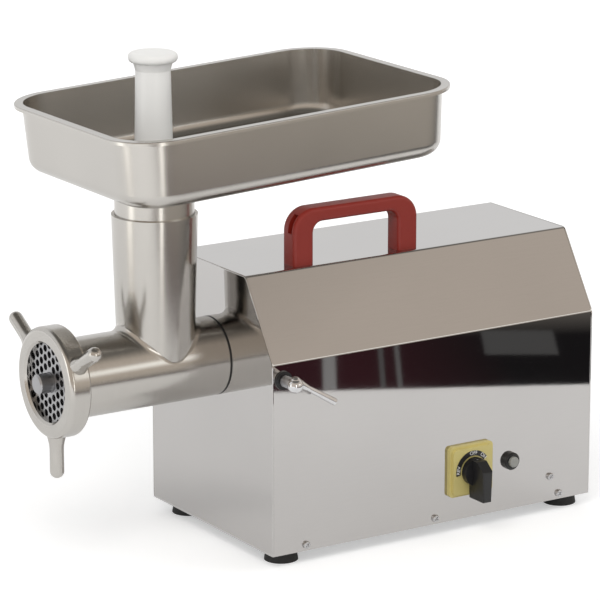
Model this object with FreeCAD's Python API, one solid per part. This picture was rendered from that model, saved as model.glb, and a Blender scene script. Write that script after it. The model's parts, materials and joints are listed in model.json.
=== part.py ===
"""Electric meat grinder with a folded steel cabinet, a clamped grinding head and a lift-off tray.

Millimetres, +Z up. The grinding head points to -X and the control panel faces -Y. The pieces
are drawn about a point on the floor under the middle of the cabinet, and the axis of the head
and the drive shaft lies straight above X. At the end all of them are shifted together, so that
the origin is on the floor under the middle of the whole grinder.
"""
import FreeCAD, Part
import math
import os

V = FreeCAD.Vector
X_AXIS = V(1, 0, 0)
Y_AXIS = V(0, 1, 0)
Z_AXIS = V(0, 0, 1)

# Clearances
run_fit = 0.05
slip = 0.1
part_gap = 0.3
over = 5.0

# Cabinet
cabinet_length = 350.0
cabinet_depth = 210.0
cabinet_height = 248.0
upright_height = 177.0
top_depth = 120.0
case_sheet = 1.5
fold_radius = 3.0
base_sheet = 2.0
base_flange = 14.0
vent_width = 5.0
vent_length = 46.0
vent_pitch = 13.0
vent_count = 5

# Feet and cabinet screws
foot_diameter = 27.0
foot_base_diameter = 31.0
foot_height = 12.0
foot_head_end_inset = 23.6
foot_far_end_inset = 16.0
foot_side_inset = 24.0
foot_recess = 8.0
screw_shank = 4.0
screw_head = 7.0
screw_head_height = 2.4
screw_length = 7.0
case_screw_spacing = 140.0
case_screw_rise = 5.7
foot_screw_shank = 5.0
foot_screw_head = 10.0
weld_nut_flats = 10.0
weld_nut_height = 4.0

# Carrying handle
handle_width = 133.0
handle_height = 51.0
handle_depth = 20.0
handle_leg = 21.0
handle_bar = 13.0
handle_outer_radius = 21.0
handle_inner_radius = 10.0
handle_edge = 3.5
handle_from_head_end = 54.5
handle_from_top_edge = 5.0
handle_screw_shank = 6.0
handle_screw_length = 24.0

# Cable gland
gland_flats = 22.0
gland_hex_height = 6.0
gland_dome_diameter = 18.0
gland_length = 18.0
gland_thread = 15.0
gland_bore = 8.0
gland_height = 45.0
gland_from_back = 43.0

# Rotary switch
switch_from_head_end = 211.9
switch_height = 59.2
switch_plate_side = 48.0
switch_plate_thickness = 4.0
switch_face_side = 43.0
switch_face_thickness = 3.0
switch_corner = 4.0
scale_outer = 18.8
scale_inner = 14.2
scale_thickness = 0.5
scale_from_angle = -100.0
scale_to_angle = 52.0
knob_diameter = 26.0
knob_disc = 6.0
knob_bar_width = 11.0
knob_bar_tip_width = 8.5
knob_bar_length = 25.0
knob_bar_height = 17.0
knob_edge = 1.2
spindle_diameter = 6.0
switch_body_side = 44.0
switch_body_depth = 36.0

# Overload reset
reset_from_head_end = 258.4
reset_height = 59.0
bezel_diameter = 16.5
bezel_height = 5.0
button_diameter = 10.0
button_proud = 8.0
button_travel = 2.5
breaker_width = 18.0
breaker_height = 34.0
breaker_depth = 30.0
breaker_neck = 12.0

# Grinding head
head_height = 174.0
barrel_diameter = 72.0
barrel_bore = 62.0
bell_diameter = 90.0
bell_length = 12.0
bell_taper = 2.0
mouth_reach = 164.0
knife_chamber_diameter = 66.0
rear_wall = 14.0
spigot_diameter = 64.0
spigot_bore = 50.0
spigot_length = 36.0
bush_outer = 40.0
tube_from_plate = 57.0
tube_top_diameter = 77.0
tube_low_diameter = 69.0
tube_bore = 60.0
tube_fillet = 7.0

# Cutting plate, knife and ring
plate_diameter = 82.0
plate_thickness = 9.5
plate_proud = 1.0
plate_hole = 6.4
plate_hole_pitch = 8.4
plate_hole_field = 37.0
plate_hub_field = 13.0
key_diameter = 5.0
knife_span = 64.0
knife_thickness = 11.0
knife_blade = 13.0
knife_hub = 34.0
knife_square = 22.0
knife_room = 3.0
ring_diameter = 100.0
ring_length = 20.5
ring_lip = 5.5
ring_mouth = 71.0
ring_front_round = 4.5
ring_rear_round = 2.5
ring_bevel = 2.0
lug_diameter = 12.8
lug_reach = 38.7
lug_count = 3
lug_flare = 2.6
lug_flare_length = 9.0
ring_pitch = 4.0
ring_turns = 4.0

# Auger
stud_diameter = 18.0
stud_proud = 13.5
stud_chamfer = 1.5
auger_rear_core = 26.0
auger_front_core = 36.0
flight_pitch = 37.0
flight_tip = 5.0
flight_root = 10.0
journal_diameter = 32.0
washer_thickness = 2.0
washer_diameter = 52.0
shank_side = 20.0
shank_length = 30.0

# Clamp lever
clamp_from_plate = 11.0
clamp_screw = 10.0
clamp_boss = 18.0
clamp_boss_length = 20.0
clamp_pad = 8.0
clamp_pad_length = 7.0
clamp_knuckle = 14.0
clamp_stand_off = 20.0
clamp_arm_length = 49.0
clamp_arm_neck = 5.0
clamp_arm_tip = 6.8
clamp_arm_root = 9.5
clamp_arm_lift = 3.5
clamp_arm_drop = 31.0
grommet_diameter = 17.0
grommet_height = 1.6
grommet_lip = 12.4

# Tray and pusher
tray_length = 353.0
tray_width = 251.0
tray_corner = 48.5
tray_depth = 64.0
tray_sheet = 1.2
tray_flange = 7.0
tray_draft = 4.0
tray_floor_radius = 14.0
tray_lip = 3.5
tray_tilt = 2.8
tray_over_handle = 19.0
spout_from_end = 58.8
spout_from_side = 70.8
spout_diameter = 71.0
spout_wall = 1.5
spout_show = 17.0
spout_depth = 28.0
pusher_top_height = 457.5
pusher_piston = 59.2
pusher_piston_length = 30.0
pusher_waist = 39.0
pusher_neck = 31.2
pusher_head = 44.0
pusher_head_length = 16.0
pusher_head_rim = 9.0
pusher_head_round = 4.2
pusher_shoulder = 12.0

# Gear train
pinion_tooth_count = 14
wheel_tooth_count = 42
output_module = 2.5
input_module = 2.0
backlash = 0.45
large_addendum = 0.9
output_face = 20.0
input_face = 14.0
gear_gap = 4.0
motor_angle = -36.87
gear_web = 8.0
gear_rim = 8.0
gear_hub = 44.0

# Gearbox
gearbox_wall = 6.0
gearbox_clear = 5.0
gearbox_side_gap = 6.5
front_wall = 20.0
cover_wall = 17.0
gearbox_foot_width = 124.0
gearbox_foot_height = 10.0
gearbox_foot_length = 44.0
gearbox_leg_width = 70.0
socket_outer = 84.0
socket_flange = 122.0
socket_flange_thickness = 9.0
socket_length = 40.0
bolt_shank = 6.0
bolt_head = 10.0
bolt_head_height = 5.0
bolt_length = 12.0
socket_bolt_count = 4
cover_bolt_lug = 13.0
drive_head = 44.0
output_shaft = 30.0
output_bearing = 62.0
output_bearing_width = 16.0
seal_outer = 48.0
seal_width = 4.0
counter_shaft = 20.0
counter_bearing = 42.0
counter_bearing_width = 12.0

# Motor
motor_diameter = 124.0
motor_shell_wall = 3.0
motor_shell_length = 100.0
bell_wall = 6.0
motor_bell_length = 22.0
motor_shaft = 15.0
motor_bearing = 35.0
motor_bearing_width = 11.0
stator_bore = 68.0
stator_length = 62.0
air_gap = 0.6
winding_length = 13.0
winding_outer = 104.0
winding_inner = 78.0
fan_diameter = 100.0
fan_hub = 32.0
fan_length = 16.0
fan_blade_count = 6
fan_blade_thickness = 2.4
tie_bolt = 5.0
tie_lug = 12.0
tie_reach = 66.0
cradle_width = 30.0
cradle_sheet = 3.0

# Capacitor
capacitor_diameter = 32.0
capacitor_length = 62.0
capacitor_from_head_end = 304.5
capacitor_height = 35.8
clip_sheet = 1.5
clip_width = 16.0

# Worked-out places
plate_x = -cabinet_length / 2
far_x = cabinet_length / 2
panel_y = -cabinet_depth / 2
case_bottom = foot_height
case_top = foot_height + cabinet_height
base_top = case_bottom + base_sheet
slant_depth = (cabinet_depth - top_depth) / 2
slant_rise = cabinet_height - upright_height
axis_z = head_height
inner_panel_y = panel_y + case_sheet
plate_front = mouth_reach + plate_proud
plate_back = plate_front - plate_thickness
knife_back = plate_back - part_gap - knife_thickness
ring_front = plate_front + ring_lip
stud_tip = plate_front + stud_proud
bell_start = mouth_reach - bell_length
tube_x = plate_x - tube_from_plate
tube_rim_height = case_top + handle_height + tray_over_handle - spout_show
spout_seat = tube_rim_height - spout_depth
pan_z = tube_rim_height + spout_show
switch_x = plate_x + switch_from_head_end
reset_x = plate_x + reset_from_head_end
clamp_x = plate_x + clamp_from_plate
socket_x = plate_x + case_sheet
gearbox_x = socket_x + socket_length
cavity_x = gearbox_x + front_wall
output_gear_x = cavity_x + gear_gap
input_gear_x = output_gear_x + output_face + gear_gap
cover_x = input_gear_x + input_face + gear_gap
motor_x = cover_x + cover_wall
shell_x = motor_x + motor_bell_length
rear_bell_x = shell_x + motor_shell_length
fan_x = rear_bell_x + motor_bell_length + gear_gap
output_centres = output_module * (pinion_tooth_count + wheel_tooth_count) / 2
input_centres = input_module * (pinion_tooth_count + wheel_tooth_count) / 2
counter_room = input_module * (wheel_tooth_count / 2 + 1) + gearbox_clear
counter_y = panel_y + case_sheet + gearbox_side_gap + gearbox_wall + counter_room
counter_angle = 180 + math.degrees(math.acos(-counter_y / output_centres))
counter_z = axis_z + output_centres * math.sin(math.radians(counter_angle))
motor_y = counter_y + input_centres * math.cos(math.radians(motor_angle))
motor_z = counter_z + input_centres * math.sin(math.radians(motor_angle))
switch_front = panel_y - switch_plate_thickness - switch_face_thickness
knob_back = switch_front - scale_thickness - part_gap
knob_front = knob_back - knob_disc - knob_bar_height
foremost_y = min(knob_front, panel_y - clamp_stand_off - clamp_knuckle / 2)
rearmost_y = tray_width - spout_from_side
middle_x = (plate_x - stud_tip + far_x + gland_length) / 2
middle_y = (foremost_y + rearmost_y) / 2


# Small shape helpers

def rod(radius, start, along, length):
    """A round bar from a start point along a direction."""
    return Part.makeCylinder(radius, length, start, along)


def sleeve(outer, inner, start, along, length):
    """A plain ring or tube."""
    hole = rod(inner, start - along * over, along, length + 2 * over)
    return rod(outer, start, along, length).cut(hole)


def block(x_low, x_high, y_low, y_high, z_low, z_high):
    """A box between two corners."""
    return Part.makeBox(x_high - x_low, y_high - y_low, z_high - z_low, V(x_low, y_low, z_low))


def turned(profile, start, along):
    """A turned piece. The profile is a closed list of (distance along, radius)."""
    side = Z_AXIS if abs(along.z) < 0.5 else X_AXIS
    points = [start + along * far + side * radius for far, radius in profile]
    face = Part.Face(Part.makePolygon(points + points[:1]))
    return face.revolve(start, along, 360)


def prism(points, along):
    """A closed polygon extruded along a vector."""
    return Part.Face(Part.makePolygon(points + points[:1])).extrude(along)


def hexagon(flats, start, along, length):
    """A hexagonal bar whose flats are the given distance apart."""
    corner = flats / math.sqrt(3)
    side = Z_AXIS if abs(along.z) < 0.5 else X_AXIS
    across = along.cross(side)
    points = []
    for step in range(6):
        turn = math.radians(60 * step)
        points.append(start + side * corner * math.cos(turn) + across * corner * math.sin(turn))
    return prism(points, along * length)


def square_bar(side, start, length):
    """A square bar along X, centred on its start point."""
    half = side / 2
    return block(start.x, start.x + length, start.y - half, start.y + half,
                 start.z - half, start.z + half)


def runs_along(edge, along):
    """True for a straight edge parallel to a direction."""
    if len(edge.Vertexes) < 2 or edge.Curve.TypeId != "Part::GeomLine":
        return False
    return edge.Curve.Direction.cross(along).Length < 1e-6


def pan_screw(head, head_height, shank, length, seat, inward):
    """A pan-head screw whose head seats at a point and whose shank runs inward."""
    cap = rod(head / 2, seat, -inward, head_height)
    rim = [edge for edge in cap.Edges
           if abs((edge.CenterOfMass - seat).dot(inward) + head_height) < 0.01]
    cap = cap.makeFillet(head_height * 0.45, rim)
    return cap.fuse(rod(shank / 2, seat, inward, length))


def hex_bolt(seat, inward, length):
    """A hexagon-head bolt with its head seated at a point."""
    cap = hexagon(bolt_head, seat, -inward, bolt_head_height)
    return cap.fuse(rod(bolt_shank / 2, seat, inward, length))


def rounded_wire(x_low, x_high, y_low, y_high, radius, z):
    """A level rectangle with round corners."""
    middle = V((x_low + x_high) / 2, (y_low + y_high) / 2, z)
    edges = []
    corners = [(x_high, y_high, 0), (x_low, y_high, 90), (x_low, y_low, 180), (x_high, y_low, 270)]
    arcs = []
    for x, y, turn in corners:
        pull_x = -radius if x > middle.x else radius
        pull_y = -radius if y > middle.y else radius
        circle = Part.Circle(V(x + pull_x, y + pull_y, z), Z_AXIS, radius)
        arcs.append(Part.Arc(circle, math.radians(turn), math.radians(turn + 90)).toShape())
    for index, arc in enumerate(arcs):
        following = arcs[(index + 1) % len(arcs)]
        edges.append(arc)
        edges.append(Part.makeLine(arc.Vertexes[-1].Point, following.Vertexes[0].Point))
    return Part.Wire(edges)


# Cabinet

def case_core(inset, x_low, x_high, bottom):
    """The solid inside the cabinet's folded outline, drawn in by an inset."""
    lean = math.atan2(slant_depth, slant_rise)
    half_depth = cabinet_depth / 2 - inset
    half_top = top_depth / 2 - inset * math.tan((math.pi / 2 - lean) / 2)
    shoulder = case_bottom + upright_height - inset * math.tan(lean / 2)
    top = case_top - inset
    outline = [(-half_depth, bottom), (-half_depth, shoulder), (-half_top, top),
               (half_top, top), (half_depth, shoulder), (half_depth, bottom)]
    core = prism([V(x_low, y, z) for y, z in outline], V(x_high - x_low, 0, 0))
    folds = [edge for edge in core.Edges
             if runs_along(edge, X_AXIS) and edge.CenterOfMass.z > bottom + over]
    return core.makeFillet(fold_radius - inset, folds)


def case_screw_places():
    """Seats of the screws along the bottom of the front and back panels."""
    z = case_bottom + case_screw_rise
    for side in (-1, 1):
        for step in (-1, 0, 1):
            yield V(step * case_screw_spacing, side * cabinet_depth / 2, z), V(0, -side, 0)


def capacitor_screw_place():
    """Seat of the screw that holds the capacitor's clip to the front panel."""
    return V(plate_x + capacitor_from_head_end, panel_y, capacitor_height)


def handle_screw_places():
    """Points under the cabinet's top where the handle's two screws pass."""
    x_low = plate_x + handle_from_head_end
    y = -top_depth / 2 + handle_from_top_edge + handle_depth / 2
    for x in (x_low + handle_leg / 2, x_low + handle_width - handle_leg / 2):
        yield V(x, y, case_top - case_sheet)


def cabinet_wrap():
    """Front, two slants, top and back, folded from one sheet."""
    wrap = case_core(0, plate_x, far_x, case_bottom)
    wrap = wrap.cut(case_core(case_sheet, plate_x - over, far_x + over, case_bottom - over))
    for seat, inward in case_screw_places():
        wrap = wrap.cut(rod(screw_shank / 2 + slip, seat - inward, inward, over))
    wrap = wrap.cut(rod(screw_shank / 2 + slip, capacitor_screw_place() - Y_AXIS, Y_AXIS, over))
    for place in handle_screw_places():
        wrap = wrap.cut(rod(handle_screw_shank / 2 + slip, place - Z_AXIS, Z_AXIS, over))
    outside = panel_y - over
    reach = 2 * over
    wrap = wrap.cut(rod(spindle_diameter / 2 + 1, V(switch_x, outside, switch_height), Y_AXIS, reach))
    wrap = wrap.cut(rod(breaker_neck / 2 + slip, V(reset_x, outside, reset_height), Y_AXIS, reach))
    return wrap.cut(rod(grommet_lip / 2 + slip, V(clamp_x, outside, axis_z), Y_AXIS, reach))


def head_end_plate():
    """End plate with the round hole for the head's spigot."""
    plate = case_core(case_sheet, plate_x, plate_x + case_sheet, case_bottom)
    return plate.cut(rod(spigot_diameter / 2 + 1, V(plate_x - over, 0, axis_z), X_AXIS, 3 * over))


def slot(x, y_low, y_high, z, width):
    """A cutter for one round-ended vent through the far end plate."""
    cutter = block(x - over, x + over, y_low, y_high, z - width / 2, z + width / 2)
    for y in (y_low, y_high):
        cutter = cutter.fuse(rod(width / 2, V(x - over, y, z), X_AXIS, 2 * over))
    return cutter


def far_end_plate():
    """End plate with cooling slots behind the fan and the cable gland's hole."""
    plate = case_core(case_sheet, far_x - case_sheet, far_x, case_bottom)
    for step in range(vent_count):
        z = motor_z + (step - (vent_count - 1) / 2) * vent_pitch
        plate = plate.cut(slot(far_x, motor_y - vent_length / 2, motor_y + vent_length / 2, z, vent_width))
    gland = rod(gland_thread / 2 + slip, gland_place() - X_AXIS * over, X_AXIS, 2 * over)
    return plate.cut(gland)


def foot_places():
    """Centres of the four feet on the floor."""
    for x in (plate_x + foot_head_end_inset, far_x - foot_far_end_inset):
        for side in (-1, 1):
            yield V(x, side * (cabinet_depth / 2 - foot_side_inset), 0)


def base_plate():
    """Floor of the cabinet with a flange up the front and back and a weld nut over each foot."""
    x_half = cabinet_length / 2 - case_sheet
    y_half = cabinet_depth / 2 - case_sheet
    base = block(-x_half, x_half, -y_half, y_half, case_bottom, base_top)
    for side in (-1, 1):
        y_edges = sorted((side * y_half, side * (y_half - base_sheet)))
        base = base.fuse(block(-x_half, x_half, y_edges[0], y_edges[1], case_bottom,
                               case_bottom + base_flange))
    for place in foot_places():
        base = base.fuse(hexagon(weld_nut_flats, place + Z_AXIS * base_top, Z_AXIS, weld_nut_height))
    for place in foot_places():
        base = base.cut(rod(foot_screw_shank / 2 + slip, place, Z_AXIS, case_bottom + 3 * over))
    for seat, inward in case_screw_places():
        base = base.cut(rod(screw_shank / 2 + slip, seat, inward, 2 * over))
    for step in range(vent_count):
        x = shell_x + step * vent_pitch
        base = base.cut(block(x - vent_width / 2, x + vent_width / 2, -gearbox_foot_width / 2 - vent_width,
                              -gearbox_foot_width / 4, case_bottom - over, base_top + over))
    for place in gearbox_bolt_places():
        base = base.cut(rod(bolt_shank / 2 + slip, place - Z_AXIS * 3 * over, Z_AXIS, 6 * over))
    for place in cradle_bolt_places():
        base = base.cut(rod(bolt_shank / 2 + slip, place - Z_AXIS * 3 * over, Z_AXIS, 6 * over))
    return base.removeSplitter()


def rubber_feet():
    """Four rubber feet, wider at the floor, with a recess for their screws."""
    feet = []
    low = foot_base_diameter / 2
    high = foot_diameter / 2
    head = foot_screw_head / 2 + 1
    shank = foot_screw_shank / 2 + slip
    profile = [(0, head), (0, low), (foot_height, high), (foot_height, shank), (foot_recess, shank),
               (foot_recess, head)]
    for place in foot_places():
        feet.append(turned(profile, place, Z_AXIS))
    return Part.Compound(feet)


def foot_screws():
    """Screws up through the feet into the base plate's weld nuts."""
    screws = []
    length = foot_height - foot_recess + base_sheet + weld_nut_height
    for place in foot_places():
        seat = place + Z_AXIS * foot_recess
        screws.append(pan_screw(foot_screw_head, foot_recess / 2, foot_screw_shank, length, seat, Z_AXIS))
    return Part.Compound(screws)


def case_screws():
    """Screws through the front and back panels into the base flanges and the capacitor clip."""
    screws = []
    for seat, inward in case_screw_places():
        screws.append(pan_screw(screw_head, screw_head_height, screw_shank, screw_length, seat, inward))
    seat = capacitor_screw_place()
    length = case_sheet + clip_sheet
    screws.append(pan_screw(screw_head, screw_head_height, screw_shank, length, seat, Y_AXIS))
    return Part.Compound(screws)


def carry_handle():
    """Moulded bridge handle on the front edge of the flat top."""
    x_low = plate_x + handle_from_head_end
    x_high = x_low + handle_width
    y_low = -top_depth / 2 + handle_from_top_edge
    y_high = y_low + handle_depth
    z_high = case_top + handle_height
    outer = block(x_low, x_high, y_low, y_high, case_top, z_high)
    corners = [edge for edge in outer.Edges
               if runs_along(edge, Y_AXIS) and edge.CenterOfMass.z > case_top + over]
    outer = outer.makeFillet(handle_outer_radius, corners)
    gap = block(x_low + handle_leg, x_high - handle_leg, y_low - over, y_high + over,
                case_top - over, z_high - handle_bar)
    corners = [edge for edge in gap.Edges
               if runs_along(edge, Y_AXIS) and edge.CenterOfMass.z > case_top + over]
    handle = outer.cut(gap.makeFillet(handle_inner_radius, corners))
    rims = [edge for edge in handle.Edges
            if edge.CenterOfMass.z > case_top + 0.1
            and min(abs(edge.CenterOfMass.y - y_low), abs(edge.CenterOfMass.y - y_high)) < 0.01]
    handle = handle.makeFillet(handle_edge, rims)
    for place in handle_screw_places():
        handle = handle.cut(rod(handle_screw_shank / 2 + slip, place, Z_AXIS, handle_screw_length + over))
    return handle


def handle_screws():
    """Two screws up through the cabinet's top into the handle's legs."""
    screws = []
    for place in handle_screw_places():
        screws.append(pan_screw(handle_screw_shank * 2, handle_screw_shank * 0.6, handle_screw_shank,
                                handle_screw_length, place, Z_AXIS))
    return Part.Compound(screws)


def gland_place():
    """Centre of the cable gland on the far end plate's outer face."""
    return V(far_x, cabinet_depth / 2 - gland_from_back, gland_height)


def cable_gland():
    """Gland body: hexagon and dome outside, threaded neck through the plate."""
    place = gland_place()
    body = hexagon(gland_flats, place, X_AXIS, gland_hex_height)
    dome = rod(gland_dome_diameter / 2, place, X_AXIS, gland_length)
    rim = [edge for edge in dome.Edges if edge.CenterOfMass.x > place.x + gland_length - 0.1]
    dome = dome.makeFillet((gland_dome_diameter - gland_bore) / 4, rim)
    neck = rod(gland_thread / 2, place, -X_AXIS, case_sheet + gland_hex_height)
    body = body.fuse([dome, neck]).removeSplitter()
    return body.cut(rod(gland_bore / 2, place - X_AXIS * 4 * over, X_AXIS, 10 * over))


def gland_nut():
    """Lock nut of the cable gland, inside the cabinet."""
    start = gland_place() - X_AXIS * case_sheet
    nut = hexagon(gland_flats, start, -X_AXIS, gland_hex_height * 0.8)
    return nut.cut(rod(gland_thread / 2 + slip, start, -X_AXIS, gland_hex_height))


# Switch and overload reset

def front_square(side, y_face, thickness, corner):
    """A square with round corners that stands out of a plane facing the front."""
    half = side / 2
    body = block(switch_x - half, switch_x + half, y_face - thickness, y_face,
                 switch_height - half, switch_height + half)
    corners = [edge for edge in body.Edges if runs_along(edge, Y_AXIS)]
    return body.makeFillet(corner, corners)


def switch_plate():
    """Stepped legend plate of the rotary switch."""
    plate = front_square(switch_plate_side, panel_y, switch_plate_thickness, switch_corner)
    face = front_square(switch_face_side, panel_y - switch_plate_thickness, switch_face_thickness,
                        switch_corner)
    hole = rod(spindle_diameter / 2 + 1, V(switch_x, panel_y - 4 * over, switch_height), Y_AXIS, 8 * over)
    return plate.fuse(face).cut(hole)


def switch_scale():
    """Curved scale band on the legend plate."""
    centre = V(switch_x, switch_front, switch_height)
    band = sleeve(scale_outer, scale_inner, centre, -Y_AXIS, scale_thickness)
    reach = scale_outer * 2
    middle = (scale_from_angle + scale_to_angle) / 2
    fan = [V(centre.x, centre.y + over, centre.z)]
    for angle in (scale_from_angle, (scale_from_angle + middle) / 2, middle,
                  (scale_to_angle + middle) / 2, scale_to_angle):
        turn = math.radians(angle)
        fan.append(V(centre.x + reach * math.sin(turn), centre.y + over, centre.z + reach * math.cos(turn)))
    return band.common(prism(fan, -Y_AXIS * 3 * over))


def switch_knob():
    """Round knob with a tapered grip bar that hangs below its disc."""
    back = knob_back
    centre = V(switch_x, back, switch_height)
    disc = rod(knob_diameter / 2, centre, -Y_AXIS, knob_disc)
    top = math.sqrt((knob_diameter / 2) ** 2 - (knob_bar_width / 2) ** 2)
    half = knob_bar_width / 2
    tip = knob_bar_tip_width / 2
    outline = [V(switch_x - half, back, switch_height + top), V(switch_x + half, back, switch_height + top),
               V(switch_x + tip, back, switch_height - knob_bar_length),
               V(switch_x - tip, back, switch_height - knob_bar_length)]
    bar = prism(outline, -Y_AXIS * (knob_disc + knob_bar_height))
    slope = (knob_bar_height + knob_disc) * 0.35
    shoulder = prism([V(0, back - knob_disc, switch_height + top + over),
                      V(0, back - knob_disc - knob_bar_height - over, switch_height + top + over),
                      V(0, back - knob_disc - knob_bar_height - over, switch_height + top - slope),
                      V(0, back - knob_disc - knob_bar_height, switch_height + top - slope)],
                     X_AXIS * knob_diameter)
    shoulder.translate(V(switch_x - knob_diameter / 2, 0, 0))
    bar = bar.cut(shoulder)
    front = [edge for edge in bar.Edges
             if abs(edge.CenterOfMass.y - (back - knob_disc - knob_bar_height)) < 0.01]
    bar = bar.makeFillet(knob_edge, front)
    knob = disc.fuse(bar).removeSplitter()
    socket = rod(spindle_diameter / 2 + slip, centre + Y_AXIS, -Y_AXIS, knob_disc + 1)
    return knob.cut(socket)


def switch_spindle():
    """Spindle from the switch body into the knob."""
    start = V(switch_x, inner_panel_y, switch_height)
    reach = inner_panel_y - (knob_back - knob_disc + 1)
    return rod(spindle_diameter / 2, start, -Y_AXIS, reach)


def switch_body():
    """Contact block of the rotary switch behind the panel."""
    half = switch_body_side / 2
    body = block(switch_x - half, switch_x + half, inner_panel_y, inner_panel_y + switch_body_depth,
                 switch_height - half, switch_height + half)
    corners = [edge for edge in body.Edges if runs_along(edge, Y_AXIS)]
    body = body.makeFillet(switch_corner, corners)
    for step in (1, 2):
        y = inner_panel_y + step * switch_body_depth / 3
        groove = block(switch_x - half, switch_x + half, y - 1, y + 1,
                       switch_height - half, switch_height + half)
        inner = block(switch_x - half + 2, switch_x + half - 2, y - 2, y + 2,
                      switch_height - half + 2, switch_height + half - 2)
        body = body.cut(groove.cut(inner))
    pocket = rod(spindle_diameter / 2 + slip, V(switch_x, inner_panel_y - 1, switch_height), Y_AXIS, 1)
    return body.cut(pocket)


def reset_bezel():
    """Collar of the overload reset on the front panel."""
    start = V(reset_x, panel_y, reset_height)
    collar = rod(bezel_diameter / 2, start, -Y_AXIS, bezel_height)
    rim = [edge for edge in collar.Edges if edge.CenterOfMass.y < panel_y - bezel_height + 0.1]
    collar = collar.makeChamfer(bezel_height / 4, rim)
    return collar.cut(rod(button_diameter / 2 + part_gap, start + Y_AXIS, -Y_AXIS, bezel_height + 2))


def reset_button():
    """Push button of the overload reset, with its stem into the breaker."""
    back = V(reset_x, panel_y - button_travel - part_gap, reset_height)
    tip = panel_y - button_proud
    cap = rod(button_diameter / 2, back, -Y_AXIS, back.y - tip)
    rim = [edge for edge in cap.Edges if edge.CenterOfMass.y < tip + 0.1]
    cap = cap.makeFillet(button_diameter / 8, rim)
    stem = rod(button_diameter / 4, back, Y_AXIS, inner_panel_y - back.y)
    return cap.fuse(stem)


def breaker_body():
    """Thermal overload breaker behind the panel, with its neck in the panel's hole."""
    start = V(reset_x, inner_panel_y, reset_height)
    half = breaker_width / 2
    body = block(reset_x - half, reset_x + half, start.y, start.y + breaker_depth,
                 reset_height - breaker_height / 2, reset_height + breaker_height / 2)
    for side in (-1, 1):
        z = reset_height + side * breaker_height / 4
        body = body.fuse(block(reset_x - half / 2, reset_x + half / 2, start.y + breaker_depth,
                               start.y + breaker_depth + over, z - 0.5, z + 0.5))
    body = body.fuse(rod(breaker_neck / 2, start, -Y_AXIS, case_sheet))
    bore = rod(button_diameter / 4 + run_fit, start - Y_AXIS * over, Y_AXIS,
               over + button_travel + part_gap)
    return body.cut(bore)


# Grinding head

def head_place():
    """Point on the head's axis in the outer face of the head end plate."""
    return V(plate_x, 0, axis_z)


def grinder_body():
    """One casting: barrel, bell mouth, rear spigot and tapered feed tube."""
    barrel = barrel_diameter / 2
    bore = barrel_bore / 2
    seat = plate_diameter / 2 + part_gap
    chamber = knife_chamber_diameter / 2
    profile = [(-spigot_length, spigot_bore / 2), (-spigot_length, spigot_diameter / 2),
               (0, spigot_diameter / 2), (0, barrel), (bell_start - bell_taper, barrel),
               (bell_start, bell_diameter / 2), (mouth_reach, bell_diameter / 2), (mouth_reach, seat),
               (plate_back - part_gap, seat), (plate_back - part_gap, chamber),
               (knife_back - knife_room, chamber), (knife_back - knife_room - 2, bore),
               (rear_wall + washer_thickness, bore), (rear_wall + washer_thickness, bush_outer / 2),
               (0, bush_outer / 2), (0, spigot_bore / 2)]
    body = turned(profile, head_place(), -X_AXIS)
    foot = V(tube_x, 0, axis_z)
    rise = tube_rim_height - axis_z
    outer = Part.makeCone(tube_low_diameter / 2, tube_top_diameter / 2, rise, foot, Z_AXIS)
    core = rod(bore + 1, head_place() - X_AXIS * (mouth_reach + over), X_AXIS, mouth_reach)
    outer = outer.cut(core)
    before = [edge.CenterOfMass for edge in body.Edges] + [edge.CenterOfMass for edge in outer.Edges]
    joined = body.fuse(outer).removeSplitter()
    seam = []
    for edge in joined.Edges:
        middle = edge.CenterOfMass
        near_tube = abs(middle.x - tube_x) < barrel and axis_z < middle.z < axis_z + barrel + over
        if near_tube and min((middle - point).Length for point in before) > 0.05:
            seam.append(edge)
    outside = [edge for edge in seam if V(0, edge.CenterOfMass.y, edge.BoundBox.ZMax - axis_z).Length
               > barrel - 1]
    joined = joined.makeFillet(tube_fillet, outside)
    joined = joined.cut(rod(tube_bore / 2, foot, Z_AXIS, rise + over))
    joined = joined.cut(rod(spout_diameter / 2 + part_gap, V(tube_x, 0, spout_seat), Z_AXIS,
                            spout_depth + over))
    groove = rod(key_diameter / 2 + slip, key_place(), X_AXIS, plate_thickness - plate_proud + part_gap)
    return joined.cut(groove)


def key_place():
    """Front end of the pin that stops the cutting plate from turning."""
    return V(plate_x - mouth_reach, 0, axis_z - plate_diameter / 2 - part_gap)


def plate_key():
    """Round key, half in the barrel's mouth and half in the cutting plate's notch."""
    return rod(key_diameter / 2, key_place(), X_AXIS, plate_thickness - plate_proud)


def barrel_bush():
    """Bronze bush for the auger's rear journal."""
    return sleeve(bush_outer / 2 - slip, journal_diameter / 2 + run_fit, head_place(), -X_AXIS, rear_wall)


def thrust_washer():
    """Washer that takes the auger's push on the barrel's rear wall."""
    start = head_place() - X_AXIS * (rear_wall + washer_thickness)
    return sleeve(washer_diameter / 2, journal_diameter / 2 + slip, start, -X_AXIS, washer_thickness)


def auger_flight(start, finish):
    """Helical flight between two distances from the end plate."""
    outer = barrel_bore / 2 - part_gap
    inner = auger_rear_core / 2 - 1
    height = finish - start
    helix = Part.makeHelix(flight_pitch, height, inner)
    profile = Part.makePolygon([V(inner, 0, -flight_root / 2), V(outer, 0, -flight_tip / 2),
                                V(outer, 0, flight_tip / 2), V(inner, 0, flight_root / 2),
                                V(inner, 0, -flight_root / 2)])
    flight = Part.Wire(helix).makePipeShell([profile], True, True)
    flight.rotate(V(0, 0, 0), Y_AXIS, -90)
    flight.translate(head_place() - X_AXIS * start)
    return flight


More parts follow.
